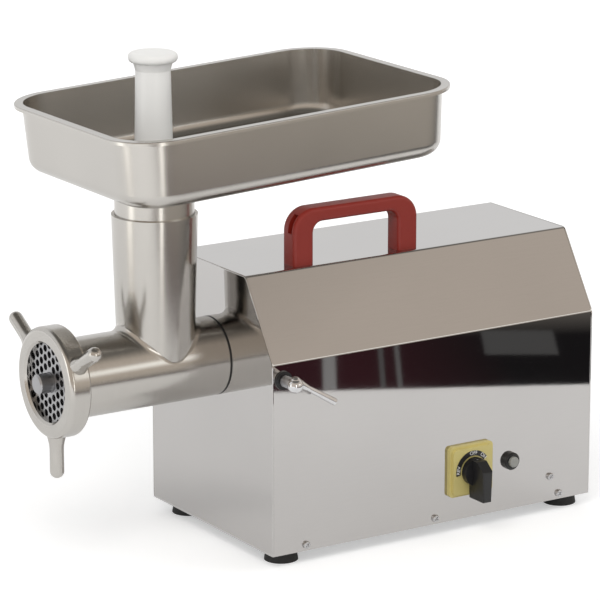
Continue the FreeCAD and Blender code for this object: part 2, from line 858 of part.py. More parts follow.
def auger():
    """Feed screw with its journal, drive shank, knife square and front stud."""
    collar = rear_wall + 2 * washer_thickness + part_gap
    front = knife_back - slip
    rear = auger_rear_core / 2
    nose = auger_front_core / 2
    profile = [(slip, 0), (slip, journal_diameter / 2), (collar, journal_diameter / 2),
               (collar, washer_diameter / 2), (collar + 3, washer_diameter / 2), (collar + 3, rear),
               (front, nose), (front, stud_diameter / 2), (stud_tip - stud_chamfer, stud_diameter / 2),
               (stud_tip, stud_diameter / 2 - stud_chamfer), (stud_tip, 0)]
    screw = turned(profile, head_place(), -X_AXIS)
    flight = auger_flight(collar + 3 + flight_root / 2, front - flight_root / 2)
    seat = square_bar(knife_square, head_place() - X_AXIS * (front + knife_thickness), knife_thickness)
    shank = square_bar(shank_side, head_place() - X_AXIS * slip, shank_length + slip)
    return screw.fuse([flight, seat, shank]).removeSplitter()


def knife():
    """Four-armed knife on the auger's square, with swept cutting edges."""
    back = head_place() - X_AXIS * knife_back
    body = rod(knife_hub / 2, back, -X_AXIS, knife_thickness)
    reach = knife_span / 2
    for step in range(4):
        arm = prism([V(back.x, -knife_blade / 2, axis_z), V(back.x, knife_blade / 2, axis_z),
                     V(back.x, knife_blade, axis_z + reach * 0.8), V(back.x, knife_blade / 2, axis_z + reach * 0.92),
                     V(back.x, 0, axis_z + reach * 0.9)], -X_AXIS * knife_thickness)
        arm.rotate(back, X_AXIS, 90 * step)
        body = body.fuse(arm)
    hole = square_bar(knife_square + 2 * slip, back - X_AXIS * (knife_thickness + 1), knife_thickness + 2)
    return body.removeSplitter().cut(hole)


def plate_hole_places():
    """Hexagonal field of holes in upright columns, clear of the hub and the rim."""
    column = plate_hole_pitch * math.sqrt(3) / 2
    span = int(plate_hole_field / column) + 1
    for across in range(-span, span + 1):
        lift = plate_hole_pitch / 2 if across % 2 else 0
        for up in range(-span, span + 1):
            y = across * column
            z = up * plate_hole_pitch + lift
            if plate_hub_field < math.hypot(y, z) < plate_hole_field:
                yield y, z


def cutting_plate():
    """Perforated plate with a hub hole for the stud and a notch for its key."""
    back = head_place() - X_AXIS * plate_back
    plate = rod(plate_diameter / 2, back, -X_AXIS, plate_thickness)
    cutters = [rod(stud_diameter / 2 + part_gap, back + X_AXIS, -X_AXIS, plate_thickness + 2)]
    for y, z in plate_hole_places():
        cutters.append(rod(plate_hole / 2, back + V(1, y, z), -X_AXIS, plate_thickness + 2))
    cutters.append(rod(key_diameter / 2 + part_gap, key_place() - X_AXIS * over, X_AXIS,
                       plate_thickness + 2 * over))
    return plate.cut(cutters)


def ring_nut():
    """Screwed ring that holds the plate, with three round-ended lugs."""
    front = ring_front
    rear = ring_front - ring_length
    thread = bell_diameter / 2 + part_gap
    mouth = ring_mouth / 2
    profile = [(front, mouth + ring_bevel), (front, ring_diameter / 2), (rear, ring_diameter / 2),
               (rear, thread), (front - ring_lip + slip, thread), (front - ring_lip + slip, mouth),
               (front - ring_bevel, mouth)]
    ring = turned(profile, head_place(), -X_AXIS)
    front_x = plate_x - front
    rear_x = plate_x - rear
    for x, radius, corner in ((front_x, ring_diameter / 2, ring_front_round),
                              (rear_x, ring_diameter / 2, ring_rear_round)):
        rims = [edge for edge in ring.Edges
                if abs(edge.CenterOfMass.x - x) < 0.01 and edge.Length > 2 * math.pi * (radius - 1)]
        ring = ring.makeFillet(corner, rims)
    middle = V((front_x + ring_front_round + rear_x - ring_rear_round) / 2, 0, axis_z)
    for step in range(lug_count):
        lug = ring_lug(middle, (ring_diameter / 2 + thread) / 2)
        lug.rotate(middle, X_AXIS, step * 360 / lug_count)
        ring = ring.fuse(lug)
    return ring.removeSplitter()


def ring_lug(middle, root):
    """One lug that points down: flared where it meets the ring, round at its end."""
    thick = lug_diameter / 2
    waist = ring_diameter / 2 + lug_flare_length
    end = ring_diameter / 2 + lug_reach - thick
    profile = [(root, 0), (root, thick + lug_flare), (waist, thick), (end, thick), (end, 0)]
    lug = turned(profile, middle, -Z_AXIS)
    bends = [edge for edge in lug.Edges
             if edge.Curve.TypeId == "Part::GeomCircle" and abs(edge.CenterOfMass.z - middle.z + waist) < 0.01]
    lug = lug.makeFillet(2 * lug_diameter, bends)
    return lug.fuse(Part.makeSphere(thick, middle - Z_AXIS * end)).removeSplitter()


# Clamp for the head

def clamp_place(y):
    """Point on the clamp screw's axis."""
    return V(clamp_x, y, axis_z)


def clamp_pad_piece():
    """Swivel pad that presses on the head's spigot."""
    tip = -spigot_diameter / 2 - part_gap
    return rod(clamp_pad / 2, clamp_place(tip), -Y_AXIS, clamp_pad_length)


def clamp_rod():
    """Screw from the lever's knuckle to the pad."""
    near = -spigot_diameter / 2 - part_gap - clamp_pad_length
    far = panel_y - clamp_stand_off
    return rod(clamp_screw / 2, clamp_place(near), -Y_AXIS, near - far)


def clamp_lever():
    """Cast lever: a round knuckle and an arm that thins, then swells to its end."""
    centre = clamp_place(panel_y - clamp_stand_off)
    ball = clamp_knuckle / 2
    knuckle = Part.makeSphere(ball, centre)
    end = clamp_arm_length
    neck = end * 0.32
    root = centre + Z_AXIS * clamp_arm_lift
    profile = [(0, 0), (0, clamp_arm_root / 2), (neck, clamp_arm_neck / 2), (end, clamp_arm_tip / 2), (end, 0)]
    arm = turned(profile, root, X_AXIS)
    rim = [edge for edge in arm.Edges if edge.CenterOfMass.x > root.x + end - 0.1]
    arm = arm.makeFillet(clamp_arm_tip / 4, rim)
    arm = arm.fuse(Part.makeSphere(clamp_arm_root / 2, root))
    arm.rotate(root, Y_AXIS, clamp_arm_drop)
    lever = knuckle.fuse(arm).removeSplitter()
    hole = rod(clamp_screw / 2 + slip / 2, centre, Y_AXIS, clamp_knuckle)
    return lever.cut(hole)


def clamp_grommet():
    """Collar that lines the clamp screw's hole in the front panel."""
    outer = rod(grommet_diameter / 2, clamp_place(panel_y), -Y_AXIS, grommet_height)
    lip = rod(grommet_lip / 2, clamp_place(panel_y), Y_AXIS, case_sheet)
    hole = rod(clamp_screw / 2 + part_gap, clamp_place(panel_y - over), Y_AXIS, 2 * over)
    return outer.fuse(lip).cut(hole)


def bolt_circle(radius, count, start_angle):
    """Points round the head's axis, as (y, z)."""
    for step in range(count):
        turn = math.radians(start_angle + 360 * step / count)
        yield radius * math.cos(turn), axis_z + radius * math.sin(turn)


def socket_bolt_places():
    """Seats of the bolts that hold the socket's flange to the gearbox."""
    radius = (socket_outer + socket_flange) / 4
    x = gearbox_x - socket_flange_thickness
    for y, z in bolt_circle(radius, socket_bolt_count, 90):
        yield V(x, y, z)


def head_socket():
    """Hub behind the end plate that takes the head's spigot, with the clamp's boss."""
    start = V(socket_x, 0, axis_z)
    hub = rod(socket_outer / 2, start, X_AXIS, socket_length)
    flange = rod(socket_flange / 2, V(gearbox_x - socket_flange_thickness, 0, axis_z), X_AXIS,
                 socket_flange_thickness)
    boss_from = -spigot_diameter / 2 - (socket_outer - spigot_diameter) / 4
    boss = rod(clamp_boss / 2, clamp_place(boss_from), -Y_AXIS, clamp_boss_length)
    hub = hub.fuse([flange, boss]).removeSplitter()
    cutters = [rod(spigot_diameter / 2 + slip, start - X_AXIS, X_AXIS, socket_length + 2),
               rod(clamp_screw / 2 + run_fit, clamp_place(0), -Y_AXIS, socket_outer)]
    for place in socket_bolt_places():
        cutters.append(rod(bolt_shank / 2 + slip, place - X_AXIS, X_AXIS, 3 * over))
    return hub.cut(cutters)


def socket_bolts():
    """Bolts through the socket's flange into the gearbox."""
    bolts = [hex_bolt(place, X_AXIS, socket_flange_thickness + bolt_length)
             for place in socket_bolt_places()]
    return Part.Compound(bolts)


# Tray and pusher

def tray_placement():
    """Pan coordinates: origin on the floor's underside at the spout, tilted towards the spout."""
    return FreeCAD.Placement(V(tube_x, 0, pan_z), FreeCAD.Rotation(Y_AXIS, -tray_tilt))


def pan_solid(inset, bottom, top, floor_radius):
    """Tapered body of the pan, drawn in by an inset, with a round bottom edge."""
    wires = []
    for z, draw in ((bottom, tray_flange + tray_draft + inset), (top, tray_flange + inset)):
        wires.append(rounded_wire(-spout_from_end + draw, tray_length - spout_from_end - draw,
                                  -spout_from_side + draw, tray_width - spout_from_side - draw,
                                  tray_corner - draw, z))
    body = Part.makeLoft(wires, True, True)
    edges = [edge for edge in body.Edges if abs(edge.CenterOfMass.z - bottom) < 0.01]
    return body.makeFillet(floor_radius, edges)


def rim_wire(inset, z):
    """Outline of the tray's rim."""
    return rounded_wire(-spout_from_end + inset, tray_length - spout_from_end - inset,
                        -spout_from_side + inset, tray_width - spout_from_side - inset,
                        tray_corner - inset, z)


def rim_slab(inset, bottom, top):
    """A flat slab with the rim's outline."""
    return Part.Face(rim_wire(inset, bottom)).extrude(Z_AXIS * (top - bottom))


def tray_pan():
    """Pressed pan with a turned-down flange, set at a slight tilt on its spout."""
    outer = pan_solid(0, 0, tray_depth, tray_floor_radius)
    flange = rim_slab(0, tray_depth - tray_lip, tray_depth)
    edge = [edge for edge in flange.Edges if abs(edge.CenterOfMass.z - tray_depth) < 0.01]
    flange = flange.makeFillet(tray_sheet, edge)
    flange = flange.cut(rim_slab(tray_sheet, tray_depth - tray_lip - over, tray_depth - tray_sheet))
    pan = outer.fuse(flange).removeSplitter()
    hollow = pan_solid(tray_sheet, tray_sheet, tray_depth + 0.01, tray_floor_radius - tray_sheet)
    pan = pan.cut(hollow)
    hole = rod(spout_diameter / 2 - spout_wall, V(0, 0, -over), Z_AXIS, 2 * over)
    pan = pan.cut(hole)
    pan.Placement = tray_placement()
    return pan


def tray_spout():
    """Short tube under the pan that drops into the feed tube."""
    spout = sleeve(spout_diameter / 2, spout_diameter / 2 - spout_wall, V(tube_x, 0, spout_seat + slip),
                   Z_AXIS, spout_depth + spout_show + over)
    reach = spout_diameter
    floor = block(-reach, reach, -reach, reach, 0, reach)
    floor.Placement = tray_placement()
    return spout.cut(floor)


def pusher():
    """Plastic stomper: a piston in the feed tube, a tapered stem and a rounded head."""
    bottom = axis_z + barrel_bore / 2 + part_gap
    top = pusher_top_height - bottom
    stem = pusher_piston_length + pusher_shoulder
    profile = [(0, 0), (0, pusher_piston / 2), (pusher_piston_length, pusher_piston / 2),
               (stem, pusher_waist / 2), (top - pusher_head_length, pusher_neck / 2),
               (top - pusher_head_rim, pusher_head / 2 - pusher_head_round - slip),
               (top - pusher_head_rim, pusher_head / 2), (top, pusher_head / 2), (top, 0)]
    body = turned(profile, V(tube_x, 0, bottom), Z_AXIS)
    rims = [edge for edge in body.Edges
            if edge.CenterOfMass.z > pusher_top_height - pusher_head_rim - 0.1
            and edge.Length > math.pi * pusher_head * 0.95]
    return body.makeFillet(pusher_head_round, rims)


# Gear train

def involute(base, radius):
    """Polar angle of an involute at a radius, from its start on the base circle."""
    roll = math.sqrt(max((radius / base) ** 2 - 1, 0))
    return roll - math.atan(roll)


def gear_wire(teeth, module, addendum):
    """Outline of a spur gear in the YZ plane about the origin, one tooth on +Y."""
    pitch = module * teeth / 2
    base = pitch * math.cos(math.radians(20))
    tip = pitch + addendum * module
    root = pitch - 1.25 * module
    low = max(base, root)
    half = math.pi / (2 * teeth) - backlash / (4 * pitch)
    flank = half + involute(base, pitch)
    middle = (low + tip) / 2

    def point(radius, angle):
        return V(0, radius * math.cos(angle), radius * math.sin(angle))

    edges = []
    for tooth in range(teeth):
        turn = 2 * math.pi * tooth / teeth
        after = 2 * math.pi * (tooth + 1) / teeth
        foot = flank - involute(base, low)
        crest = flank - involute(base, tip)
        waist = flank - involute(base, middle)
        if low > root:
            edges.append(Part.makeLine(point(root, turn - foot), point(low, turn - foot)))
        edges.append(Part.Arc(point(low, turn - foot), point(middle, turn - waist),
                              point(tip, turn - crest)).toShape())
        edges.append(Part.makeLine(point(tip, turn - crest), point(tip, turn + crest)))
        edges.append(Part.Arc(point(tip, turn + crest), point(middle, turn + waist),
                              point(low, turn + foot)).toShape())
        if low > root:
            edges.append(Part.makeLine(point(low, turn + foot), point(root, turn + foot)))
        edges.append(Part.makeLine(point(root, turn + foot), point(root, after - foot)))
    return Part.Wire(edges)


def gear_blank(teeth, module, addendum, face, x, y, z, first_tooth):
    """A toothed disc with one tooth pointing at an angle from +Y towards +Z."""
    blank = Part.Face(gear_wire(teeth, module, addendum)).extrude(X_AXIS * face)
    blank.rotate(V(0, 0, 0), X_AXIS, first_tooth)
    blank.translate(V(x, y, z))
    return blank


def large_gear(module, face, x, y, z, first_tooth, bore):
    """A large gear with a dished web on both sides and a bore for its shaft."""
    gear = gear_blank(wheel_tooth_count, module, large_addendum, face, x, y, z, first_tooth)
    rim = module * wheel_tooth_count / 2 - 1.25 * module - gear_rim
    dish = (face - gear_web) / 2
    for start in (x - over, x + face - dish):
        gear = gear.cut(sleeve(rim, gear_hub / 2, V(start, y, z), X_AXIS, dish + (over if start < x else 0)))
    return gear.cut(rod(bore / 2 + slip / 2, V(x - over, y, z), X_AXIS, face + 2 * over))


def output_gear():
    """Large gear on the drive shaft, with a gap facing the countershaft's pinion."""
    half_tooth = 180 / wheel_tooth_count
    return large_gear(output_module, output_face, output_gear_x, 0, axis_z,
                      counter_angle + half_tooth, output_shaft)


def countershaft_gear():
    """Large gear on the countershaft, driven by the motor's pinion."""
    half_tooth = 180 / wheel_tooth_count
    return large_gear(input_module, input_face, input_gear_x, counter_y, counter_z,
                      motor_angle + half_tooth, counter_shaft)


def countershaft():
    """Countershaft with its pinion cut in one piece."""
    start = gearbox_x + front_wall - counter_bearing_width
    finish = cover_x + counter_bearing_width
    shaft = rod(counter_shaft / 2, V(start, counter_y, counter_z), X_AXIS, finish - start)
    pinion = gear_blank(pinion_tooth_count, output_module, 1.0, output_face, output_gear_x, counter_y, counter_z,
                        counter_angle + 180)
    return shaft.fuse(pinion).removeSplitter()


def drive_shaft():
    """Output shaft: square socket for the auger in front, bearings either side of its gear."""
    nose = plate_x + slip + part_gap
    finish = cover_x + output_bearing_width
    seat = gearbox_x + front_wall - output_bearing_width
    head = rod(drive_head / 2, V(nose, 0, axis_z), X_AXIS, gearbox_x - part_gap - nose)
    shaft = rod(output_shaft / 2, V(nose, 0, axis_z), X_AXIS, finish - nose)
    socket = square_bar(shank_side + 2 * slip, V(nose - 1, 0, axis_z), shank_length + 2)
    collar = rod(output_shaft / 2 + 2, V(seat + output_bearing_width, 0, axis_z), X_AXIS,
                 output_gear_x - seat - output_bearing_width)
    return head.fuse([shaft, collar]).removeSplitter().cut(socket)


def gearbox_centres():
    """Axes inside the gearbox with the room that each needs: (y, z, radius)."""
    large = output_module * (wheel_tooth_count / 2 + 1) + gearbox_clear
    small = input_module * (pinion_tooth_count / 2 + 1) + gearbox_clear
    return [(0, axis_z, large), (counter_y, counter_z, counter_room), (motor_y, motor_z, small)]


def belt(first, second, grow, x, length):
    """Two discs and the flat-sided web tangent to both."""
    y_a, z_a, r_a = first
    y_b, z_b, r_b = second
    r_a += grow
    r_b += grow
    span = math.hypot(y_b - y_a, z_b - z_a)
    aim = math.atan2(z_b - z_a, y_b - y_a)
    open_angle = math.acos((r_a - r_b) / span)
    points = []
    for y, z, radius, sign in ((y_a, z_a, r_a, 1), (y_b, z_b, r_b, 1), (y_b, z_b, r_b, -1), (y_a, z_a, r_a, -1)):
        turn = aim + sign * open_angle
        points.append(V(x, y + radius * math.cos(turn), z + radius * math.sin(turn)))
    web = prism(points, X_AXIS * length)
    discs = [rod(r_a, V(x, y_a, z_a), X_AXIS, length), rod(r_b, V(x, y_b, z_b), X_AXIS, length)]
    return web.fuse(discs)


def gear_room(grow, x, length):
    """The gearbox's rounded three-cornered outline as a solid."""
    first, second, third = gearbox_centres()
    room = belt(first, second, grow, x, length)
    room = room.fuse([belt(second, third, grow, x, length), belt(first, third, grow, x, length)])
    return room.removeSplitter()


def cover_bolt_places():
    """Bolt lugs round the gearbox's joint face, as (y, z)."""
    reach = gearbox_wall + cover_bolt_lug / 4
    places = []
    for (y, z, radius), angles in zip(gearbox_centres(), ((-30, 25, 80, 135), (150, 215))):
        for angle in angles:
            turn = math.radians(angle)
            places.append((y + (radius + reach) * math.cos(turn), z + (radius + reach) * math.sin(turn)))
    return places


def gearbox_bolt_places():
    """Centres of the bolts that hold the gearbox's foot to the base plate."""
    x = gearbox_x + gearbox_foot_length / 2
    for side in (-1, 1):
        yield V(x, side * (gearbox_foot_width / 2 - bolt_head), base_top + gearbox_foot_height)


def gearbox_housing():
    """Cast housing: front wall with bearing seats, open back, and a foot on the base plate."""
    depth = cover_x - gearbox_x
    body = gear_room(gearbox_wall, gearbox_x, depth)
    for y, z in cover_bolt_places():
        body = body.fuse(rod(cover_bolt_lug / 2, V(gearbox_x, y, z), X_AXIS, depth))
    foot = block(gearbox_x, gearbox_x + gearbox_foot_length, -gearbox_foot_width / 2,
                 gearbox_foot_width / 2, base_top, base_top + gearbox_foot_height)
    leg = prism([V(gearbox_x, -gearbox_leg_width / 2 - gearbox_foot_height, base_top),
                 V(gearbox_x, gearbox_leg_width / 2 + gearbox_foot_height, base_top),
                 V(gearbox_x, motor_y + gearbox_leg_width / 2, motor_z),
                 V(gearbox_x, motor_y - gearbox_leg_width / 2, motor_z)], X_AXIS * front_wall)
    body = body.fuse([foot, leg]).removeSplitter()
    cutters = [gear_room(0, cavity_x, depth)]
    seat = V(cavity_x, 0, axis_z)
    cutters.append(rod(output_bearing / 2 + slip / 2, seat, -X_AXIS, output_bearing_width))
    cutters.append(rod(seal_outer / 2 + slip / 2, seat, -X_AXIS, front_wall + 1))
    cutters.append(rod(counter_bearing / 2 + slip / 2, V(cavity_x, counter_y, counter_z), -X_AXIS,
                       counter_bearing_width))
    for y, z in cover_bolt_places():
        cutters.append(rod(bolt_shank / 2 + slip, V(cover_x, y, z), -X_AXIS, bolt_length + 1))
    for place in socket_bolt_places():
        start = place + X_AXIS * (socket_flange_thickness - 1)
        cutters.append(rod(bolt_shank / 2 + slip, start, X_AXIS, bolt_length + 2))
    for place in gearbox_bolt_places():
        cutters.append(rod(bolt_shank / 2 + slip, place + Z_AXIS, -Z_AXIS, gearbox_foot_height + 2))
    return body.cut(cutters)


def gearbox_cover():
    """Back cover with bearing seats and the motor's opening."""
    body = gear_room(gearbox_wall, cover_x, cover_wall)
    for y, z in cover_bolt_places():
        body = body.fuse(rod(cover_bolt_lug / 2, V(cover_x, y, z), X_AXIS, cover_wall))
    body = body.removeSplitter()
    cutters = [rod(output_bearing / 2 + slip / 2, V(cover_x, 0, axis_z), X_AXIS, output_bearing_width),
               rod(counter_bearing / 2 + slip / 2, V(cover_x, counter_y, counter_z), X_AXIS,
                   counter_bearing_width),
               rod(motor_shaft / 2 + 2, V(cover_x - 1, motor_y, motor_z), X_AXIS, cover_wall + 2)]
    for y, z in cover_bolt_places():
        cutters.append(rod(bolt_shank / 2 + slip, V(cover_x - 1, y, z), X_AXIS, cover_wall + 2))
    return body.cut(cutters)


def gearbox_bolts():
    """Bolts of the gearbox's cover, foot and motor cradle."""
    bolts = [hex_bolt(V(motor_x, y, z), -X_AXIS, cover_wall + bolt_length - 1)
             for y, z in cover_bolt_places()]
    for place in gearbox_bolt_places():
        bolts.append(hex_bolt(place, -Z_AXIS, gearbox_foot_height + base_sheet))
    for place in cradle_bolt_places():
        bolts.append(hex_bolt(place, -Z_AXIS, cradle_sheet + base_sheet))
    return Part.Compound(bolts)


def shielded_bearing(outer, inner, width, start):
    """A shielded ball bearing with a shallow recess between its rings."""
    ring = sleeve(outer / 2, inner / 2 + run_fit, start, X_AXIS, width)
    band = (outer - inner) / 2
    for face in (start - X_AXIS, start + X_AXIS * (width - 1)):
        ring = ring.cut(sleeve(inner / 2 + band * 0.75, inner / 2 + band * 0.3, face, X_AXIS, 2))
    return ring


def output_bearings():
    """Two bearings of the drive shaft."""
    first = V(cavity_x - output_bearing_width, 0, axis_z)
    second = V(cover_x, 0, axis_z)
    return Part.Compound([shielded_bearing(output_bearing, output_shaft, output_bearing_width, start)
                          for start in (first, second)])


def countershaft_bearings():
    """Two bearings of the countershaft."""
    first = V(cavity_x - counter_bearing_width, counter_y, counter_z)
    second = V(cover_x, counter_y, counter_z)
    return Part.Compound([shielded_bearing(counter_bearing, counter_shaft, counter_bearing_width, start)
                          for start in (first, second)])


def oil_seal():
    """Lip seal in front of the drive shaft's front bearing."""
    return sleeve(seal_outer / 2, output_shaft / 2 + run_fit, V(gearbox_x, 0, axis_z), X_AXIS, seal_width)


# Motor

def motor_place(x):
    """Point on the motor's axis."""
    return V(x, motor_y, motor_z)


def motor_shaft_piece():
    """Motor shaft with its pinion cut in one piece."""
    finish = fan_x + fan_length
    shaft = rod(motor_shaft / 2, motor_place(input_gear_x), X_AXIS, finish - input_gear_x)
    pinion = gear_blank(pinion_tooth_count, input_module, 1.0, input_face, input_gear_x, motor_y, motor_z,
                        motor_angle + 180)
    return shaft.fuse(pinion).removeSplitter()


def rotor_core():
    """Laminated rotor on the motor shaft."""
    start = shell_x + (motor_shell_length - stator_length) / 2
    return sleeve(stator_bore / 2 - air_gap, motor_shaft / 2 + slip / 2, motor_place(start), X_AXIS,
                  stator_length)


def stator_core():
    """Laminated stator inside the motor's shell."""
    start = shell_x + (motor_shell_length - stator_length) / 2
    return sleeve(motor_diameter / 2 - motor_shell_wall, stator_bore / 2, motor_place(start), X_AXIS,
                  stator_length)


def stator_windings():
    """End turns of the winding on both faces of the stator."""
    front = shell_x + (motor_shell_length - stator_length) / 2
    coils = []
    for start in (front - winding_length, front + stator_length):
        coil = sleeve(winding_outer / 2, winding_inner / 2, motor_place(start), X_AXIS, winding_length)
        rims = [edge for edge in coil.Edges if edge.Curve.TypeId == "Part::GeomCircle"]
        coils.append(coil.makeFillet(winding_length / 4, rims))
    return Part.Compound(coils)


def motor_shell():
    """Rolled shell of the motor."""
    return sleeve(motor_diameter / 2, motor_diameter / 2 - motor_shell_wall, motor_place(shell_x), X_AXIS,
                  motor_shell_length)


def motor_bell(start, along):
    """Cast end bell with a bearing seat and air windows; it opens towards the shell."""
    outer = motor_diameter / 2
    inner = outer - bell_wall
    seat = motor_bearing / 2 + slip / 2
    hub = seat + bell_wall
    depth = bell_wall + motor_bearing_width
    profile = [(0, motor_shaft / 2 + 2), (0, outer), (motor_bell_length, outer), (motor_bell_length, inner),
               (bell_wall, inner), (bell_wall, hub), (depth, hub), (depth, seat), (bell_wall, seat),
               (bell_wall, motor_shaft / 2 + 2)]
    bell = turned(profile, start, along)
    room = rod(inner, start, along, motor_bell_length)
    for place in tie_bolt_places(start.x):
        bell = bell.fuse(rod(tie_lug / 2, place, along, motor_bell_length).cut(room))
    bell = bell.removeSplitter()
    for place in tie_bolt_places(start.x):
        bell = bell.cut(rod(tie_bolt / 2 + slip, place - along, along, motor_bell_length + 2))
    for step in range(4):
        window = block(start.x - motor_bell_length * 2, start.x + motor_bell_length * 2, motor_y - vent_pitch,
                       motor_y + vent_pitch, motor_z + hub + 2, motor_z + inner - 4)
        window.rotate(start, X_AXIS, 90 * step)
        bell = bell.cut(window)
    return bell


def tie_bolt_places(x):
    """Centres of the motor's four tie bolts at a distance along X."""
    for step in range(4):
        turn = math.radians(45 + 90 * step)
        yield motor_place(x) + V(0, tie_reach * math.cos(turn), tie_reach * math.sin(turn))


def motor_tie_bolts():
    """Long bolts outside the shell that pull the two end bells together."""
    length = rear_bell_x + motor_bell_length - motor_x
    bolts = []
    for place in tie_bolt_places(motor_x + length):
        head = hexagon(tie_bolt * 1.6, place, X_AXIS, tie_bolt * 0.7)
        bolts.append(head.fuse(rod(tie_bolt / 2, place, -X_AXIS, length)))
    return Part.Compound(bolts)


def motor_front_bell():
    """End bell bolted to the gearbox's cover."""
    return motor_bell(motor_place(motor_x), X_AXIS)


def motor_rear_bell():
    """End bell at the fan end."""
    return motor_bell(motor_place(rear_bell_x + motor_bell_length), -X_AXIS)


def motor_bearings():
    """Two bearings of the motor shaft."""
    first = motor_place(motor_x + bell_wall)
    second = motor_place(rear_bell_x + motor_bell_length - bell_wall - motor_bearing_width)
    return Part.Compound([shielded_bearing(motor_bearing, motor_shaft, motor_bearing_width, start)
                          for start in (first, second)])


def cooling_fan():
    """Radial fan on the motor shaft's free end."""
    start = motor_place(fan_x)
    fan = rod(fan_hub / 2, start, X_AXIS, fan_length)
    fan = fan.fuse(rod(fan_diameter / 2, start, X_AXIS, fan_blade_thickness))
    for step in range(fan_blade_count):
        blade = block(fan_x, fan_x + fan_length, motor_y - fan_blade_thickness / 2,
                      motor_y + fan_blade_thickness / 2, motor_z, motor_z + fan_diameter / 2 - 2)
        blade.rotate(start, X_AXIS, step * 360 / fan_blade_count)
        fan = fan.fuse(blade)
    hole = rod(motor_shaft / 2 + slip / 2, start - X_AXIS, X_AXIS, fan_length + 2)
    return fan.removeSplitter().cut(hole)


def cradle_x():
    """Start of the motor's cradle along X."""
    return shell_x + motor_shell_length - cradle_width - gear_gap


def cradle_bolt_places():
    """Centres of the bolts that hold the motor's cradle to the base plate."""
    for side in (-1, 1):
        yield V(cradle_x() + cradle_width / 2, motor_y + side * (motor_diameter / 2 - bolt_head),
                base_top + cradle_sheet)


def motor_cradle():
    """Saddle under the motor's shell, on the base plate."""
    x = cradle_x()
    half = motor_diameter / 2
    foot = block(x, x + cradle_width, motor_y - half, motor_y + half, base_top, base_top + cradle_sheet)
    web = block(x, x + cradle_sheet, motor_y - half * 0.6, motor_y + half * 0.6, base_top,
                motor_z - half * 0.6)
    saddle = foot.fuse(web)
    saddle = saddle.cut(rod(half + slip, V(x - 1, motor_y, motor_z), X_AXIS, cradle_width + 2))
    for place in cradle_bolt_places():
        saddle = saddle.cut(rod(bolt_shank / 2 + slip, place + Z_AXIS, -Z_AXIS, 2 * over))
    return saddle


# Capacitor

def capacitor_axis_y():
    """Distance of the capacitor's axis from the middle plane."""
    return inner_panel_y + clip_sheet * 2 + capacitor_diameter / 2


def capacitor():
    """Run capacitor that lies along the front panel, with two tags on its end."""
    x = plate_x + capacitor_from_head_end - capacitor_length / 2
    start = V(x, capacitor_axis_y(), capacitor_height)
    can = rod(capacitor_diameter / 2, start, X_AXIS, capacitor_length)
    rims = [edge for edge in can.Edges if edge.Curve.TypeId == "Part::GeomCircle"]
    can = can.makeFillet(2.0, rims)
    for side in (-1, 1):
        y = start.y + side * capacitor_diameter / 5
        can = can.fuse(block(x - over, x + 1, y - 0.5, y + 0.5, capacitor_height - 3, capacitor_height + 3))
    return can


def capacitor_clip():
    """Spring band round the capacitor with a tab on the front panel."""
    x = plate_x + capacitor_from_head_end - clip_width / 2
    centre = V(x, capacitor_axis_y(), capacitor_height)
    inner = capacitor_diameter / 2 + slip
    band = sleeve(inner + clip_sheet, inner, centre, X_AXIS, clip_width)
    tab = block(x, x + clip_width, inner_panel_y, inner_panel_y + clip_sheet,
                capacitor_height - clip_width / 2, capacitor_height + clip_width / 2)
    clip = band.fuse(tab)
    screw = rod(screw_shank / 2 + slip, capacitor_screw_place(), Y_AXIS, case_sheet + 2 * clip_sheet)
    return clip.cut(screw)


pieces = {
    "cabinet_wrap": cabinet_wrap,
    "head_end_plate": head_end_plate,
    "far_end_plate": far_end_plate,
    "base_plate": base_plate,
    "rubber_feet": rubber_feet,
    "foot_screws": foot_screws,
    "case_screws": case_screws,
    "carry_handle": carry_handle,
    "handle_screws": handle_screws,
    "cable_gland": cable_gland,
    "gland_nut": gland_nut,
    "switch_plate": switch_plate,
    "switch_scale": switch_scale,
    "switch_knob": switch_knob,
    "switch_spindle": switch_spindle,
    "switch_body": switch_body,
    "reset_bezel": reset_bezel,
    "reset_button": reset_button,
    "breaker_body": breaker_body,
    "grinder_body": grinder_body,
    "plate_key": plate_key,
    "barrel_bush": barrel_bush,
    "thrust_washer": thrust_washer,
    "auger": auger,
    "knife": knife,
    "cutting_plate": cutting_plate,
    "ring_nut": ring_nut,
    "clamp_pad": clamp_pad_piece,
    "clamp_screw": clamp_rod,
    "clamp_lever": clamp_lever,
    "clamp_grommet": clamp_grommet,
    "head_socket": head_socket,
    "socket_bolts": socket_bolts,
    "tray_pan": tray_pan,
    "tray_spout": tray_spout,
    "pusher": pusher,
    "output_gear": output_gear,
    "countershaft_gear": countershaft_gear,
    "countershaft": countershaft,
    "drive_shaft": drive_shaft,
    "gearbox_housing": gearbox_housing,
    "gearbox_cover": gearbox_cover,
    "gearbox_bolts": gearbox_bolts,
    "output_bearings": output_bearings,
    "countershaft_bearings": countershaft_bearings,
    "oil_seal": oil_seal,
    "motor_shaft": motor_shaft_piece,
    "rotor_core": rotor_core,
    "stator_core": stator_core,
    "stator_windings": stator_windings,
    "motor_shell": motor_shell,
    "motor_front_bell": motor_front_bell,
    "motor_rear_bell": motor_rear_bell,
    "motor_bearings": motor_bearings,
    "motor_tie_bolts": motor_tie_bolts,
    "cooling_fan": cooling_fan,
    "motor_cradle": motor_cradle,
    "capacitor": capacitor,
    "capacitor_clip": capacitor_clip,
}

os.makedirs("parts", exist_ok=True)
for name, make in pieces.items():
    shape = make()
    shape.translate(V(-middle_x, -middle_y, 0))
    shape.exportStep("parts/" + name + ".step")
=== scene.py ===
"""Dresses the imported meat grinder: finishes for every solid, small added pieces, studio and camera.

Metres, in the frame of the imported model: +Z up, the grinding head towards -X, the control
panel facing -Y, the origin on the floor under the middle of the whole grinder.
"""
import json
import math

